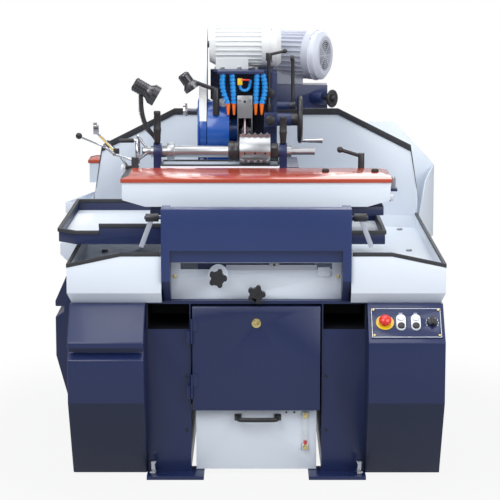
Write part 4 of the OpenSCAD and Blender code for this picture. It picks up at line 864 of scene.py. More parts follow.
@dataclass
class Stage:
    """Floor, light and camera, in metres; the camera's picture in pixels of the photograph."""

    focal_px: float = 1935.0
    photo_px: float = 500.0
    middle_px: float = 256.3
    sensor: float = 36.0
    pitch: float = 9.4
    distance: float = 6.206
    target: Point = (0.0, -0.5, 0.744)
    floor_size: float = 9.0
    floor_z: float = -0.0005
    shadow_fade: tuple[float, float] = (0.9, 1.7)
    bands: tuple[tuple[float, float], ...] = (
        (0.44, 0.5), (0.5, 0.08), (0.54, 0.12), (0.6, 0.75), (0.78, 0.85), (0.9, 0.35),
    )

    def camera(self) -> None:
        """Add the camera at the photograph's angle."""
        data = bpy.data.cameras.new("camera")
        data.sensor_width = self.sensor
        data.lens = self.focal_px / self.photo_px * self.sensor
        data.shift_x = (self.photo_px / 2 - self.middle_px) / self.photo_px
        piece = bpy.data.objects.new("camera", data)
        tilt = math.radians(self.pitch)
        piece.location = Vector(self.target) + Vector((0, -math.cos(tilt), math.sin(tilt))) * self.distance
        piece.rotation_euler = (math.radians(90) - tilt, 0, 0)
        bpy.context.scene.collection.objects.link(piece)
        bpy.context.scene.camera = piece

    def floor(self) -> None:
        """Add a pale floor that looks white to the camera and keeps a soft shadow."""
        Bench.clear()
        bpy.ops.mesh.primitive_plane_add(size=self.floor_size, location=(0, 0, self.floor_z))
        piece = Bench.settle(bpy.context.active_object, "floor")
        g = Graph("floor_white")
        speck = g.noise(3, 2).ramp(0.2, 0.8)
        matte = g.node("ShaderNodeBsdfDiffuse", None, g.mix(speck, (0.33, 0.33, 0.34), (0.36, 0.36, 0.37)))
        glow = g.node("ShaderNodeEmission", None, (1, 1, 1), 1.0)
        dim = g.node("ShaderNodeEmission", None, (0.62, 0.64, 0.68), 1.0)
        away = g.node("ShaderNodeVectorMath", {"operation": "LENGTH"}, g.place(), out="Value")
        share = g.ray("Is Camera Ray") * (away.ramp(*self.shadow_fade) * 0.1 + 0.9)
        shown = g.node("ShaderNodeMixShader", None, share, matte, glow)
        shader = g.node("ShaderNodeMixShader", None, g.ray("Is Glossy Ray"), shown, dim)
        piece.data.materials.append(g.close(shader))

    def world(self) -> None:
        """Light from all round: plain for matte surfaces, banded for polished ones."""
        g = Graph("studio", world=True)
        height = g.node("ShaderNodeSeparateXYZ", None, g.node("ShaderNodeTexCoord", out="Generated"), out=2)
        stops = [(0.0, (0.35, 0.36, 0.4)), (1.0, (1.0, 1.0, 1.0))]
        stops += [(place, (level, level, level * 1.03)) for place, level in self.bands]
        bands = g.node("ShaderNodeValToRGB", {"stops": stops}, height * 0.5 + 0.5)
        plain = g.node("ShaderNodeBackground", None, (0.93, 0.96, 1.0), 0.62)
        white = g.node("ShaderNodeBackground", None, (1, 1, 1), 1.0)
        banded = g.node("ShaderNodeBackground", None, bands, 1.0)
        first = g.node("ShaderNodeMixShader", None, g.ray("Is Camera Ray"), plain, white)
        final = g.node("ShaderNodeMixShader", None, g.ray("Is Glossy Ray"), first, banded)
        bpy.context.scene.world = g.close(final)

    def lamps(self) -> None:
        """Add the large soft lamps."""
        for name, place, size, power in (
            ("key", (-1.8, -3.2, 3.6), 2.6, 80),
            ("fill", (2.6, -2.8, 2.2), 2.4, 50),
            ("top", (0.0, -0.2, 4.2), 3.0, 60),
            ("back", (0.5, 3.6, 2.8), 2.4, 35),
        ):
            data = bpy.data.lights.new(name, "AREA")
            data.size = size
            data.energy = power
            piece = bpy.data.objects.new(name, data)
            piece.location = place
            aim = Vector((0, 0, 0.8)) - Vector(place)
            piece.rotation_euler = aim.to_track_quat("-Z", "Y").to_euler()
            bpy.context.scene.collection.objects.link(piece)

    def build(self) -> None:
        """Set the scene up."""
        bpy.context.scene.view_settings.view_transform = "Standard"
        self.camera()
        self.floor()
        self.world()
        self.lamps()


def mm(values: Sequence[float]) -> Point:
    """Turn millimetres into metres."""
    return tuple(v * MM for v in values)


YELLOW = Plastic("signal_yellow", linear(236, 198, 40), roughness=0.3, coat=0.4)
TIP = Plastic("orange_moulding", linear(250, 122, 36), roughness=0.3, coat=0.4)
GLASS = Clear("gauge_glass", (0.93, 0.97, 0.98))
LENS = Clear("lamp_glass", (0.98, 0.98, 0.96), roughness=0.2)
SHADE = Metal("smoked_shade", (0.12, 0.12, 0.13), roughness=0.24, stain=0.05)
# Painted shadow: a near-black navy for the shaded insides of the columns' lifting pockets and for the strips in the
# gaps between the cabinets and the columns.
PAINTED_SHADOW = Paint("painted_shadow_navy", linear(13, 15, 24), roughness=0.6, coat=0.02)
# Painted light: a lighter navy for the portal's upper part, where light falls on it.
PAINTED_LIGHT_NAVY = Paint("painted_light_navy", linear(34, 53, 104), roughness=0.36, coat=0.3)
# Painted shade: a darker navy for the cabinets' slanted faces below the knee, which face down.
PAINTED_SHADE_NAVY = Paint("painted_shade_navy", linear(18, 29, 58), roughness=0.45, coat=0.1)


@dataclass
class Group:
    """A sub-assembly: skins over its nodes and added pieces, all given in millimetres."""

    skins: Skins
    body: str = "machine_base"
    where: Matrix = field(default_factory=Matrix)

    def add(self, piece: bpy.types.Object, finish: Any, width: float = 0.6, body: str = "",
            slot: Slot | None = None, segments: int = 2) -> bpy.types.Object:
        """Round, smooth, place and dress a new piece.

        Args:
            piece: The piece.
            finish: A slot, or a finish of its own.
            width: Width of the rounding of its edges; 0 for none.
            body: The body that it rides on, where it isn't the group's.
            slot: The record's slot, where the finish isn't one itself; it is not used.
            segments: Steps in the rounding.

        Returns:
            The piece.
        """
        if width:
            Bench.bevel(piece, width * MM, segments)
        Bench.smooth(piece)
        piece.data.transform(self.where)
        return dress(piece, finish, body or self.body)

    def block(self, name: str, low: Point, high: Point, finish: Any, **more: Any) -> bpy.types.Object:
        """Add a block between two corners; more is passed to add."""
        return self.add(Bench.block(name, mm(low), mm(high)), finish, **more)

    def rod(self, name: str, start: Point, end: Point, across: float, finish: Any,
            **more: Any) -> bpy.types.Object:
        """Add a round bar of a diameter; more is passed to add."""
        return self.add(Bench.rod(name, mm(start), mm(end), across * MM / 2), finish, **more)

    def ball(self, name: str, centre: Point, across: float, finish: Any, **more: Any) -> bpy.types.Object:
        """Add a ball of a diameter; more is passed to add."""
        return self.add(Bench.ball(name, mm(centre), across * MM / 2), finish, **{"width": 0, **more})

    def lathe(self, name: str, centre: Point, axis: Point, profile: Profile, finish: Any,
              **more: Any) -> bpy.types.Object:
        """Add a turned piece; more is passed to add."""
        turned = Bench.lathe(name, mm(centre), axis, [mm(p) for p in profile], TURNED_SIDES)
        return self.add(turned, finish, **{"width": 0, **more})

    def tube(self, name: str, points: Sequence[Point], across: float, finish: Any, smooth: bool = True,
             **more: Any) -> bpy.types.Object:
        """Add a round tube of a diameter along points; more is passed to add."""
        drawn = Bench.tube(name, [mm(p) for p in points], across * MM / 2, smooth)
        return self.add(drawn, finish, **{"width": 0, **more})

    def screws(self, name: str, spots: Sequence[Point], axis: Point, width: float, finish: Any,
               hexagon: bool = False) -> bpy.types.Object:
        """Add screws as one piece.

        Args:
            name: The piece's name.
            spots: The middles of the faces that their heads sit on.
            axis: The direction in which the heads stand out.
            width: Diameter of a head.
            finish: A slot, or a finish of its own.
            hexagon: Whether the heads are hexagons on washers, in place of round with sockets.

        Returns:
            The piece.
        """
        r = width / 2
        if hexagon:
            outer = [(-0.3, 0), (-0.3, r * 1.3), (r * 0.16, r * 1.3), (r * 0.16, 0)]
            inner = [(0, 0), (0, r), (r * 0.8, r), (r * 0.95, r * 0.86), (r * 0.95, 0)]
        else:
            outer = [(-0.3, 0), (-0.3, r), (r * 0.7, r), (r * 0.85, r * 0.86), (r * 0.85, r * 0.52)]
            inner = [(r * 0.85, r * 0.53), (r * 0.2, r * 0.5), (r * 0.2, 0)]
        parts = []
        for spot in spots:
            parts.append(Bench.lathe(name, mm(spot), axis, [mm(p) for p in outer], SCREW_SIDES))
            parts.append(Bench.lathe(name, mm(spot), axis, [mm(p) for p in inner], HEX_SIDES))
        return self.add(Bench.join(name, parts), finish, width=0)

    def build(self) -> None:
        """Build the sub-assembly."""
        raise NotImplementedError


@dataclass
class Stand(Group):
    """Columns, feet and cabinets."""

    pocket: Box = ((213, -498, 480), (354.5, -200, 570))
    slant_top: float = 278
    seam_x: float = 352.0
    seam_w: float = 4.5
    seam_y: tuple[float, float] = (-500.9, -498)
    seam_z: tuple[float, float] = (20, 572)
    screw_x: float = 226
    screw_y: float = -500
    screw_z: tuple[float, float] = (150, 330)
    screw_d: float = 9

    def build(self) -> None:
        """Round the folded sheet, paint shade into the lifting pockets and onto the cabinets' lower slanted faces,
        and put dark strips of painted shadow in the gaps between the cabinets and the columns.
        """
        (x0, y0, z0), (x1, y1, z1) = self.pocket
        columns = self.skins.rounded("base_frame", 3 * MM, 3)
        # Painted shade: the faces inside the lifting pockets take the near-black painted shadow.
        repaint(columns, PAINTED_SHADOW, lambda f: y0 < f.center.y / MM < y1 and z0 < f.center.z / MM < z1
                and x0 < abs(f.center.x) / MM < x1)
        self.skins.rounded("foot_plates", 2 * MM, 3)
        for name in ("left_cabinet", "right_cabinet"):
            sheet = self.skins.rounded(name, 4 * MM, 3)
            # Painted shade: the downward-facing slanted faces below the knee take a darker navy.
            repaint(sheet, PAINTED_SHADE_NAVY, lambda f: f.center.z < self.slant_top * MM and f.normal.z < -0.05)
        self.skins.rounded("level_bolts", 0.8 * MM)
        self.skins.rounded("bed", 2.5 * MM)
        # Dark strips of painted shadow stand in the gaps between the cabinets and the columns.
        for side, name in ((-1, "left_seam"), (1, "right_seam")):
            x = sorted((side * self.seam_x, side * (self.seam_x + self.seam_w)))
            low, high = zip(x, self.seam_y, self.seam_z)
            self.block(name, low, high, PAINTED_SHADOW, slot=Slot.NAVY)
        spots = [(side * self.screw_x, self.screw_y, z) for side in (-1, 1) for z in self.screw_z]
        self.screws("stand_screws", spots, FORWARD, self.screw_d, Slot.DARK)


@dataclass
class Basin(Group):
    """Splash basin, guards and their bead edging."""

    bead: float = 4.2
    cap_low: float = 868
    cap_right: float = -440
    bolt_d: float = 22
    bolt_spots: tuple[Point, ...] = ((535, 526, 646), (533, 46, 646), (-529, 46, 646), (-533, 526, 646))

    def build(self) -> None:
        """Round the sheet and the edging, paint the rear cap and add the basin's bolts."""
        self.skins.rounded("splash_basin", 2 * MM)
        self.skins.rounded("splash_guard", 1.5 * MM)
        self.skins.rounded("rubber_edging", self.bead * MM, 3)
        box = self.skins.rounded("rear_slide", 3 * MM)
        repaint(box, Slot.ORANGE,
                lambda f: f.center.z > self.cap_low * MM and f.center.x < self.cap_right * MM)
        self.screws("basin_bolts", self.bolt_spots, UP, self.bolt_d, Slot.STEEL, hexagon=True)


@dataclass
class Portal(Group):
    """Front portal with the slotted panel, its knobs and the lock levers."""

    lit_from: float = 700
    rail: Box = ((-98, -461.5, 655), (196, -457, 688))
    bracket: Box = ((42, -466.5, 684), (74, -460, 700))
    pin: Box = ((58, -461, 690), (58, -471, 690))
    pin_d: float = 8
    screw_spots: tuple[Point, ...] = ((-262.6, -468, 652), (263.9, -468, 652))
    screw_d: float = 11
    blade_top: float = 828

    def build(self) -> None:
        """Round the folds, knobs and levers, and add the stop rail with its bracket and pin."""
        frame = self.skins.rounded("portal", 4 * MM, 3)
        # Painted light: the portal's faces above z 700 mm take a lighter navy.
        repaint(frame, PAINTED_LIGHT_NAVY, lambda f: f.center.z > self.lit_from * MM)
        self.skins.rounded("slotted_panel", 1.2 * MM)
        self.block("slot_rail", *self.rail, Slot.GREY, width=1)
        self.block("slot_bracket", *self.bracket, Slot.STEEL, width=1)
        self.rod("slot_pin", *self.pin, self.pin_d, Slot.DARK)
        self.screws("panel_screws", self.screw_spots, FORWARD, self.screw_d, Slot.BRASS)
        for name in ("travel_stop_knob", "panel_knob"):
            self.skins.rounded(name, 1.6 * MM, 3)
        for name in ("left_lock_lever", "right_lock_lever"):
            lever = self.skins.rounded(name, 1.2 * MM, 2)
            repaint(lever, Slot.GREY, lambda f: f.center.z < self.blade_top * MM)


@dataclass
class Door(Group):
    """Front door with its lock, and the coolant tank below it."""

    old_handle_y: float = -481.5
    tread_top: float = 13
    face_y: float = -484
    back_y: float = -479.5
    handle_z: float = 188
    handle_x: tuple[float, float] = (-60, 70)
    handle_r: float = 7.5
    foot: float = 11
    screw_d: float = 5
    gauge_x: float = 160
    gauge_z: tuple[float, float] = (90, 196)
    vent_x: tuple[float, float] = (98, 124)
    vent_z: float = 204
    vent_r: float = 3.5

    def build(self) -> None:
        """Round the door and the tank, and finish the handle and level gauge."""
        self.skins.rounded("front_door", 3 * MM, 3)
        self.skins.rounded("door_lock", 0.8 * MM)
        self.body = "coolant_tank"
        tank = self.skins.rounded("coolant_tank", 1.5 * MM)
        Bench.delete(tank, lambda f: f.center.y < self.old_handle_y * MM and f.center.z > 60 * MM)
        repaint(tank, Slot.BLACK, lambda f: f.center.z < self.tread_top * MM)
        self.handle()
        self.gauge()

    def handle(self) -> None:
        """Add the bow handle on its two feet."""
        z, (left, right), foot = self.handle_z, self.handle_x, self.foot
        bow = [(left, -479, z), (left, -500, z), (left + 2, -512, z), (left + 12, -519, z), (0, -521, z),
               (right - 12, -519, z), (right - 2, -512, z), (right, -500, z), (right, -479, z)]
        grip = Bench.tube("tank_handle", [mm(q) for q in bow], self.handle_r * MM)
        feet = [Bench.block("foot", mm((x - foot, self.face_y, z - foot)), mm((x + foot, self.back_y, z + foot)))
                for x in (left, right)]
        self.add(Bench.join("tank_handle", [grip, *feet]), Slot.BLACK, width=1.2)
        spots = [(x, self.face_y, z) for x in (left - 6, right + 6)]
        self.screws("handle_screws", spots, FORWARD, self.screw_d, Slot.STEEL)

    def gauge(self) -> None:
        """Add the level gauge: a plate, a glass with its float line, two bolts, and the vents."""
        x, (low, high) = self.gauge_x, self.gauge_z
        self.block("gauge_plate", (x - 11, self.face_y, low - 11), (x + 11, self.back_y, high + 11), Slot.PALE,
                   width=1.5)
        self.rod("gauge_tube", (x, -488, low + 8), (x, -488, high - 8), 13, GLASS, slot=Slot.PALE)
        self.rod("gauge_level", (x, -488, low + 9), (x, -488, low + 22), 8, Slot.RED)
        for z, name in ((low, "lower_gauge_block"), (high, "upper_gauge_block")):
            self.block(name, (x - 9, -495, z - 9), (x + 9, -483.5, z + 9), Slot.PALE, width=2)
        spots = [(x, -494.5, z) for z in self.gauge_z]
        self.screws("gauge_bolts", spots, FORWARD, 14, Slot.BRASS, hexagon=True)
        z = self.vent_z
        vents = [Bench.rod("vent", mm((x, -479, z)), mm((x, -480.6, z)), self.vent_r * MM, 20) for x in self.vent_x]
        self.add(Bench.join("tank_vents", vents), Slot.BLACK, width=0)


@dataclass
class Controls(Group):
    """Slanted control panel with its buttons."""

    middle_x: float = 476
    front_y: float = -660
    low_z: float = 473
    rise: float = 105.0
    run: float = 112.0
    face: float = 2.9
    estop_x: float = -68
    dial_x: float = 82
    dial_r: float = 20
    plate: tuple[float, float] = (103, 49)
    border: tuple[float, float] = (110, 56)
    line: float = 1.4
    symbol_x: tuple[float, float] = (-17, 30)

    def build(self) -> None:
        """Lay out the panel's face in its own frame and round the buttons."""
        plate = self.skins.rounded("control_plate", 0.8 * MM)
        for name in ("estop_button", "left_start_button", "left_stop_button", "right_start_button",
                     "right_stop_button", "selector_knob"):
            self.skins.rounded(name, 1.2 * MM, 3)
        middle = (self.middle_x, self.front_y + self.run / 2, self.low_z + self.rise / 2)
        slant = Matrix.Rotation(math.atan2(self.rise, self.run), 4, "X")
        self.where = Matrix.Translation(mm(middle)) @ slant
        back = self.where.inverted()
        repaint(plate, Slot.PALE, lambda f: (back @ f.center).z > 3.4 * MM
                and -35 * MM < (back @ f.center).x < 48 * MM)
        disc = [(3, 14), (3, 28.5), (5.2, 28.5), (5.6, 28), (5.6, 14), (3, 14)]
        self.lathe("estop_disc", (self.estop_x, 0, 0), UP, disc, YELLOW, slot=Slot.PALE)
        wide, tall = self.plate
        corners = [(x, y, 3) for x in (-wide, wide) for y in (-tall, tall)]
        self.screws("plate_screws", corners, UP, 7, Slot.BRASS)
        self.marks()

    def marks(self) -> None:
        """Add the dial's ticks, the symbols over the push-buttons and the border line."""
        ticks = []
        for turn in range(-120, 121, 30):
            angle = math.radians(turn)
            x, y = self.dial_x + self.dial_r * math.sin(angle), self.dial_r * math.cos(angle)
            low, high = mm((x - 0.8, y - 2.5, self.face)), mm((x + 0.8, y + 2.5, self.face + 0.4))
            ticks.append(Bench.block("tick", low, high))
        for x in self.symbol_x:
            ticks.append(Bench.block("tick", mm((x - 6, 36, self.face)), mm((x + 6, 37.6, self.face + 0.4))))
        (x, y), line = self.border, self.line
        for low, high in (((-x, -y), (x, line - y)), ((-x, y - line), (x, y)), ((-x, -y), (line - x, y)),
                          ((x - line, -y), (x, y))):
            ticks.append(Bench.block("tick", mm((*low, self.face)), mm((*high, self.face + 0.35))))
        self.add(Bench.join("panel_marks", ticks), Slot.PALE, width=0)


@dataclass
class Carriage(Group):
    """Saddle with its tray, and the covered table."""

    bead: float = 4.2
    tray_floor: float = 757
    post_low: float = 955
    post_right: float = -390
    rim: tuple[float, float, float, float] = (-324, 77, -58, 78)
    rim_z: float = 963
    rim_d: float = 9
    dome_y: float = -212
    dome_z: float = 952.5
    wiper_x: float = 437
    wiper_t: float = 4.5

    def build(self) -> None:
        """Paint the tray inside, round the covers and add fittings."""
        self.body = "saddle"
        self.skins.rounded("saddle", 3 * MM)
        tray = self.skins.rounded("carriage_tray", 1.5 * MM)
        repaint(tray, Slot.WHITE, lambda f: f.normal.z > 0.5 and f.center.z < self.tray_floor * MM)
        self.skins.rounded("tray_edging", self.bead * MM, 3)
        self.body = "table"
        self.skins.rounded("work_table", 1 * MM)
        self.skins.rounded("slide_cover", 3 * MM, 3)
        cap = self.skins.rounded("cover_cap", 2.5 * MM, 3)
        repaint(cap, Slot.DARK,
                lambda f: f.center.z > self.post_low * MM and f.center.x < self.post_right * MM)
        self.skins.rounded("support_arms", 3 * MM, 3)
        self.skins.rounded("drip_tray", 1.2 * MM)
        x0, x1, y0, y1 = self.rim
        loop = [(x, y, self.rim_z) for x, y in ((x0, y0), (x1, y0), (x1, y1), (x0, y1), (x0, y0))]
        self.tube("drip_edging", loop, self.rim_d, Slot.RUBBER, smooth=False)
        self.skins.rounded("right_clamp_lever", 1 * MM)
        self.cover_fittings()
        self.setting_gauge()

    def cover_fittings(self) -> None:
        """Add the dome knobs, the wiper strips and the end bracket of the cover."""
        dome = [(0, 0), (0, 8), (5, 8), (8, 12), (14, 12.5), (19, 9), (21, 0)]
        for x, name in ((231, "inner_dome"), (396, "outer_dome")):
            self.lathe(name, (x, self.dome_y, self.dome_z), UP, dome, Slot.BLACK)
        self.block("end_bracket", (439.5, -238, 898), (470, -186, 908), Slot.CAST, width=2)
        post = [(0, 0), (0, 8), (3, 8), (4, 6), (34, 6), (36, 4), (36, 0)]
        for y, name in ((-228, "front_post"), (-196, "rear_post")):
            self.lathe(name, (458, y, 907.5), UP, post, Slot.STEEL)
        knob = [(0, 0), (0, 7), (4, 7), (6, 12), (15, 12), (17, 9), (17, 0)]
        self.lathe("cover_knob", (439.5, -250, 880), (1, 0, 0), knob, Slot.PALE)
        for side, name in ((-1, "left_wiper"), (1, "right_wiper")):
            low, high = sorted((side * self.wiper_x, side * (self.wiper_x + self.wiper_t)))
            self.block(name, (low, -334, 878), (high, -90, 888), Slot.RUBBER, width=1)

    def setting_gauge(self) -> None:
        """Add the setting gauge and the white knob beside the feed lever."""
        self.block("gauge_foot", (-446, -82, 951), (-399, -66, 965), Slot.DARK, width=1.5)
        self.rod("gauge_stem", (-438, -74, 962), (-478, -74, 1016), 8, Slot.CHROME)
        self.rod("gauge_arm", (-474, -74, 1008), (-542, -74, 1078), 9, Slot.CHROME)
        self.block("gauge_clamp", (-486, -81, 1006), (-466, -67, 1024), Slot.DARK, width=2)
        self.block("gauge_head", (-553, -81, 1072), (-535, -67, 1104), Slot.CHROME, width=1.5)
        self.block("gauge_anvil", (-553, -80, 1104), (-541, -68, 1112), Slot.STEEL, width=1)
        self.rod("gauge_dial", (-544, -66.5, 1092), (-544, -60, 1092), 16, Slot.CHROME)
        self.rod("gauge_handle", (-474, -66, 1016), (-502, -66, 1040), 5, Slot.DARK)
        self.ball("gauge_ball", (-505, -66, 1043), 16, Slot.BLACK)
        strip = self.block("gauge_strip", (-2, -2, 0), (2, 2, 76), YELLOW, width=0.8, slot=Slot.BRASS)
        lean = Matrix.Rotation(math.radians(-42), 4, "Y")
        strip.data.transform(Matrix.Translation(mm((-479, -77, 1009))) @ lean)
        knob = [(0, 0), (0, 6), (4, 6), (6, 11), (14, 11), (16, 8), (16, 0)]
        self.lathe("feed_knob", (-445.5, -74, 958), (-1, 0, 0), knob, Slot.PALE)


@dataclass
class Arbor(Group):
    """Arbor with cutterhead, knives and handwheel, its arm grips and the feed lever."""

    axis_y: float = -10
    axis_z: float = 1006
    shaft_r: float = 21
    collar_x: tuple[float, float] = (-97, -55)
    nut_x: tuple[float, float] = (40.5, 79)
    head_x: tuple[float, float] = (-53, 38)
    seat_r: float = 59.3
    gib_area: float = 4e-5
    hole_r: float = 35.2
    hole_x: tuple[float, float] = (-86, -67)
    grip_y: float = -20
    grip_z: float = 1036.4
    grip_r: float = 12.0
    flutes: int = 10

    def off_axis(self, point: Vector) -> float:
        """Give a point's distance from the arbor's axis, in millimetres."""
        return math.hypot(point.y / MM - self.axis_y, point.z / MM - self.axis_z)

    def build(self) -> None:
        """Round what turns, and add the gib screws, the set holes and the grips."""
        self.body = "arbor"
        shaft = self.skins.rounded("arbor", 1 * MM)
        repaint(shaft, Slot.DARK, lambda f: self.off_axis(f.center) > self.shaft_r and any(
            low < f.center.x / MM < high for low, high in (self.collar_x, self.nut_x)))
        head = self.skins.rounded("cutterhead", 0.7 * MM)
        low, high = self.head_x
        repaint(head, Slot.DARK, lambda f: f.normal.x ** 2 < 0.5 and f.area < self.gib_area
                and self.off_axis(f.center) < self.seat_r and low < f.center.x / MM < high)
        self.skins.rounded("profile_knives", 0.35 * MM)
        wheel = self.skins.rounded("arbor_handwheel", 1 * MM, 2, angle=40)
        repaint(wheel, Slot.BLACK, lambda f: f.center.x < -419 * MM)
        # The set holes are flat black discs on the collar: painted shade for the dark insides of the holes.
        holes = []
        for turn in range(4):
            angle = math.radians(turn * 90 + 20)
            out = (0, math.cos(angle), math.sin(angle))
            y, z = self.axis_y + self.hole_r * out[1], self.axis_z + self.hole_r * out[2]
            holes += [Bench.lathe("set_hole_shadow", mm((x, y, z)), out, [mm(q) for q in ((0.9, 4), (0.9, 0))], 16)
                      for x in self.hole_x]
        self.add(Bench.join("collar_hole_shadows", holes), Slot.BLACK, width=0)
        self.grip("left_arm_grip", -339, 110)
        self.grip("right_arm_grip", 92, 90)
        lever = self.skins.rounded("feed_lever", 1 * MM, 2, angle=40)
        repaint(lever, Slot.BLACK, lambda f: f.center.x < -589 * MM)

    def grip(self, node: str, x: float, length: float) -> None:
        """Stand a moulded grip with flutes and a waist ring in for a plain one.

        Args:
            node: The node, which is the body's name too.
            x: The grip's middle.
            length: Its height.
        """
        r, y, base = self.grip_r, self.grip_y, self.grip_z
        shares = [(0.3, 1.02), (0.38, 1.08), (0.4, 1.12), (0.45, 1.12), (0.47, 1.04), (0.86, 0.9),
                  (0.88, 0.98), (0.97, 0.98), (1, 0.8), (1, 0)]
        shape = [(0, 0), (0, r * 0.8), (2, r * 0.86)] + [(length * a, r * b) for a, b in shares]
        parts = [Bench.lathe(node, mm((x, y, base)), UP, [mm(q) for q in shape], GRIP_SIDES)]
        for turn in range(self.flutes):
            angle = math.tau * turn / self.flutes
            out = Vector((math.cos(angle), math.sin(angle), 0))
            low = Vector((x, y, base + length * 0.5)) + out * (r - 1)
            high = Vector((x, y, base + length * 0.84)) + out * (r - 2)
            parts.append(Bench.rod("rib", mm(low), mm(high), 1.6 * MM, 10))
        piece = self.add(Bench.join(node + "_moulded", parts), Slot.BLACK, width=0, body=node)
        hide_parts(node)


@dataclass
class Head(Group):
    """Grinding head: slide, column, drum, guards, belt drive and motors."""

    blue_top: float = 1170
    crank_x: float = 163
    nozzle_top: float = 1158.2
    front_motor: tuple[Point, float, float] = ((-166, 300, 1355), 160.0, 254.0)
    rear_motor: tuple[Point, float, float] = ((250, 410, 1308), 175.0, 0.0)
    rear_turn: float = -25.0
    grille_rings: tuple[float, ...] = (0.05, 0.09, 0.13, 0.17, 0.21, 0.25, 0.29)
    drum_x: float = -94.8
    drum_y: float = 235
    drum_z: float = 1055
    drum_bolt_r: float = 92

    def build(self) -> None:
        """Round the castings and guards, and add bolts, nozzles and motor fittings."""
        self.body = "grinding_head"
        for name, width, segments in (("head_slide", 3, 3), ("drum_housing", 4, 3), ("wheel_guard", 0.8, 2),
                                      ("finned_motor", 0.7, 2), ("rear_motor", 0.7, 2)):
            self.skins.rounded(name, width * MM, segments)
        guard = self.skins.rounded("belt_guard", 4 * MM, 3)
        repaint(guard, Slot.BLUE, lambda f: f.center.z < self.blue_top * MM)
        wheel = self.skins.rounded("infeed_handwheel", 1 * MM, 2, angle=40)
        repaint(wheel, Slot.CHROME, lambda f: f.center.x > self.crank_x * MM)
        for name in ("long_lever", "top_clamp_lever", "rear_handwheel", "head_clamp_knob", "wheel_spindle",
                     "grinding_wheel", "motor_shaft"):
            self.skins.rounded(name, 1 * MM, 2, angle=40)
        hoses = self.skins.rounded("coolant_hoses", 2.4 * MM, 3, angle=40)
        repaint(hoses, TIP, lambda f: f.center.z < self.nozzle_top * MM)
        self.grille("front", *self.front_motor, 0.0, Slot.MOTOR)
        self.grille("rear", *self.rear_motor, self.rear_turn, Slot.GREY)
        self.where = Matrix()
        self.motor_fittings()
        self.drum_fittings()
        self.coolant_valve()

    def grille(self, name: str, origin: Point, width: float, length: float, turn: float, slot: Slot) -> None:
        """Add a motor's fan disc, the grille over it and the screws of its cowl.

        Args:
            name: First word of the pieces' names.
            origin: The middle of the motor's drive end.
            width: The motor's diameter.
            length: The distance from the origin to the cowl's face.
            turn: The motor's turn about the vertical, in degrees.
            slot: The motor's slot.
        """
        self.where = (Matrix.Translation(mm(origin)) @ Matrix.Rotation(math.radians(turn), 4, "Z")
                      @ Matrix.Rotation(math.radians(90), 4, "Y") @ Matrix.Translation((0, 0, length * MM)))
        disc = Bench.rod(name + "_fan", mm((0, 0, -2.9)), mm((0, 0, -2.2)), width * 0.33 * MM, 48)
        self.add(disc, Slot.BLACK, width=0)
        rings = [Bench.ring("ring", mm((0, 0, -1.5)), UP, width * share * MM, 1.1 * MM, 48)
                 for share in self.grille_rings]
        bar = Bench.block("bar", mm((-width * 0.3, -1.2, -2.1)), mm((width * 0.3, 1.2, -0.8)))
        bars = [bar] + Bench.copies(bar, [Matrix.Rotation(math.radians(45 * k), 4, "Z") for k in range(1, 4)])
        self.add(Bench.join(name + "_grille", rings + bars), slot, width=0)
        screws = []
        for corner in range(4):
            angle = math.radians(90 * corner + 45)
            x, y = width * 0.52 * math.cos(angle), width * 0.52 * math.sin(angle)
            screws.append(Bench.rod("cowl", mm((x, y, -34)), mm((x * 0.9, y * 0.9, -34)), 3.5 * MM, 12))
        self.add(Bench.join(name + "_cowl_screws", screws), Slot.STEEL, width=0.5)

    def motor_fittings(self) -> None:
        """Add the terminal box with its gland and conduit, and the bolts of the motor's feet."""
        self.block("terminal_box", (-112, 372, 1318), (-22, 414, 1392), Slot.MOTOR, width=4, segments=3)
        spots = [(x, 414, z) for x in (-104, -30) for z in (1326, 1384)]
        self.screws("box_screws", spots, (0, 1, 0), 7, Slot.STEEL)
        self.rod("cable_gland", (-67, 396, 1319), (-67, 396, 1300), 22, Slot.BLACK)
        route = [(-67, 396, 1302), (-67, 398, 1280), (-64, 420, 1262), (-60, 455, 1240), (-60, 470.5, 1200),
                 (-60, 474, 1120), (-60, 474, 1000)]
        self.tube("motor_conduit", route, 11, Slot.BLACK)
        feet = [(x, 238, 1271.2) for x in (-120, -60, 0)]
        self.screws("foot_bolts", feet, UP, 15, Slot.STEEL, hexagon=True)

    def drum_fittings(self) -> None:
        """Add bolts, screws, knobs and the cap of the drum, the wheel guard and the side casting."""
        angles = [math.radians(45 * k + 22) for k in range(8)]
        spots = [(self.drum_x, self.drum_y + self.drum_bolt_r * math.cos(a),
                  self.drum_z + self.drum_bolt_r * math.sin(a)) for a in angles]
        self.screws("drum_bolts", spots, (1, 0, 0), 13, Slot.DARK)
        self.screws("guard_screws", [(x, 117.9, 1170) for x in (-58, -22)], FORWARD, 7, Slot.STEEL)
        # The guard's hole is a flat black disc: painted shade for the dark inside of the hole.
        self.rod("guard_hole_shadow", (-40, 117.2, 1166), (-40, 118.4, 1166), 9, Slot.BLACK, width=0)
        knob = [(0, 0), (0, 10), (6, 10), (8, 17), (20, 17), (22, 14), (22, 0)]
        for name, place in (("upper_knob", (48, 187.5, 1190)), ("lower_knob", (48, 118, 1102))):
            self.lathe(name, place, FORWARD, knob, Slot.BLACK)
        cap = [(0, 0), (0, 15), (5, 15), (18, 16), (22, 12), (23, 0)]
        self.lathe("drum_cap", (-118, 185, 1146), (0, -0.3, 1), cap, Slot.PALE)

    def coolant_valve(self) -> None:
        """Add the coolant valve with its lever and its short hose."""
        self.block("valve_body", (-66, 128, 1222), (-48, 146, 1246), YELLOW, width=3, slot=Slot.BRASS)
        self.block("valve_lever", (-50, 122, 1238), (-24, 130, 1244), Slot.RED, width=2)
        route = [(-57, 140, 1224), (-57, 140, 1206), (-40, 150, 1200), (-22, 150, 1206), (-20, 150, 1240)]
        self.tube("valve_hose", route, 11, Slot.HOSE)


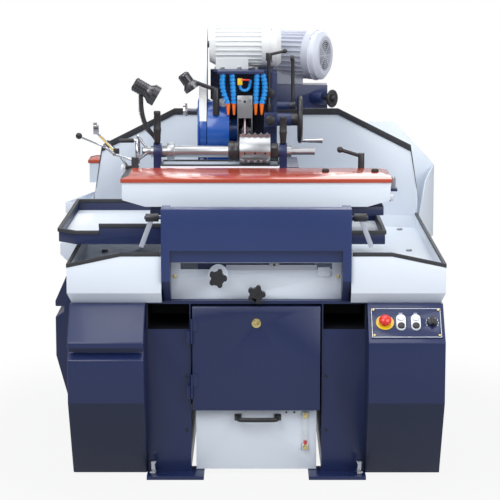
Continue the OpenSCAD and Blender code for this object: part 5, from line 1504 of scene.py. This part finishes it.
@dataclass
class Lamps(Group):
    """The two work lamps."""

    left_x: float = -395.5
    post: Point = (-141, 145, 1162.8)
    post_low: float = 1116
    post_d: float = 24
    rib_pitch: float = 5
    rib_r: float = 1.9
    shade_ribs: int = 5

    def build(self) -> None:
        """Stand ribbed necks and shades with glasses in for the lamps."""
        neck = [(-343, 6, 1037), (-343, 6, 1049), (-379, 6, 1085), (self.left_x, 6, 1143),
                (self.left_x, 6, 1200), (self.left_x, 6, 1218)]
        self.neck("left_lamp", "table", neck, 17)
        self.shade("left_lamp", "table", (self.left_x, 6, 1225), (0.866, 0, -0.5), 92, 25, 36)
        x, y, z = self.post
        arm = [(x, y, z + 44), (x - 29, y, z + 52), (x - 106, y, z + 82)]
        self.neck("right_lamp", "grinding_head", arm, 15)
        self.shade("right_lamp", "grinding_head", arm[-1], (0.574, 0, -0.819), 66, 21, 29)
        self.rod("lamp_post", (x, y - 0.2, self.post_low), (x, y - 0.2, z + 50), self.post_d, Slot.DARK,
                 body="grinding_head", width=3)

    def neck(self, node: str, body: str, points: Sequence[Point], across: float) -> None:
        """Stand a ribbed neck in for a lamp's node.

        Args:
            node: The node.
            body: The body that it rides on.
            points: The neck's route.
            across: Its diameter.
        """
        route = [Vector(mm(q)) for q in points]
        parts = [Bench.tube(node, route, across * 0.42 * MM)]
        for start, end in zip(route, route[1:]):
            steps = max(1, round((end - start).length / (self.rib_pitch * MM)))
            parts += [Bench.ring("rib", start.lerp(end, step / steps), end - start, across * 0.4 * MM,
                                 self.rib_r * MM, 20) for step in range(steps)]
        piece = self.add(Bench.join(node + "_neck", parts), Slot.DARK, width=0, body=body)
        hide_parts(node)

    def shade(self, node: str, body: str, tip: Point, aim: Point, length: float, back: float,
              front: float) -> None:
        """Add a lamp's shade with cooling ribs, its reflector and its glass.

        Args:
            node: The node, whose name starts the pieces' names.
            body: The body that they ride on.
            tip: The neck's end, at which the shade is held.
            aim: The direction of the light.
            length: The shade's length.
            back: Its radius at the ribs.
            front: Its radius at the mouth.
        """
        start = -length * 0.3
        mouth = start + length
        profile = [(start, 0), (start, back * 0.7), (start + 3, back * 0.9)]
        for rib in range(self.shade_ribs):
            place = start + 6 + rib * length * 0.1
            profile += [(place, back), (place + length * 0.06, back), (place + length * 0.07, back * 0.94),
                        (place + length * 0.09, back * 0.94)]
        profile += [(start + length * 0.62, back), (mouth - length * 0.22, front), (mouth, front),
                    (mouth, front * 0.93), (mouth - length * 0.2, front * 0.9),
                    (mouth - length * 0.34, front * 0.5), (mouth - length * 0.34, 0)]
        shade = Bench.lathe(node + "_shade", mm(tip), aim, [mm(q) for q in profile], GRIP_SIDES)
        shade = self.add(shade, SHADE, width=0, body=body, slot=Slot.DARK)
        centre, along = Vector(mm(tip)), Vector(aim).normalized()

        def reflects(face: bpy.types.MeshPolygon) -> bool:
            """Tell whether a face belongs to the reflector in the shade's mouth.

            Args:
                face: The face.

            Returns:
                True for the reflector's faces.
            """
            out = face.center - centre
            depth = out.dot(along)
            return (face.normal.dot(along) > 0.25 and depth > (mouth - length * 0.36) * MM
                    and (out - along * depth).length < front * 0.925 * MM)

        repaint(shade, Slot.CHROME, reflects)
        glass = [(mouth - 7, 0), (mouth - 7, front * 0.92), (mouth - 5, front * 0.92), (mouth - 4, 0)]
        self.lathe(node + "_glass", tip, aim, glass, LENS, body=body, slot=Slot.CHROME)


def main() -> None:
    """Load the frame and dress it."""
    logging.basicConfig(level=logging.INFO, format="%(message)s")
    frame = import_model()
    Bench.clear()
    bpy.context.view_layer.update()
    Stage().build()
    skins = Skins(frame)
    for kind in (Stand, Basin, Portal, Door, Controls, Carriage, Arbor, Head, Lamps):
        kind(skins).build()
    skins.rest()
    Bench.clear()


if __name__ == "__main__":
    main()
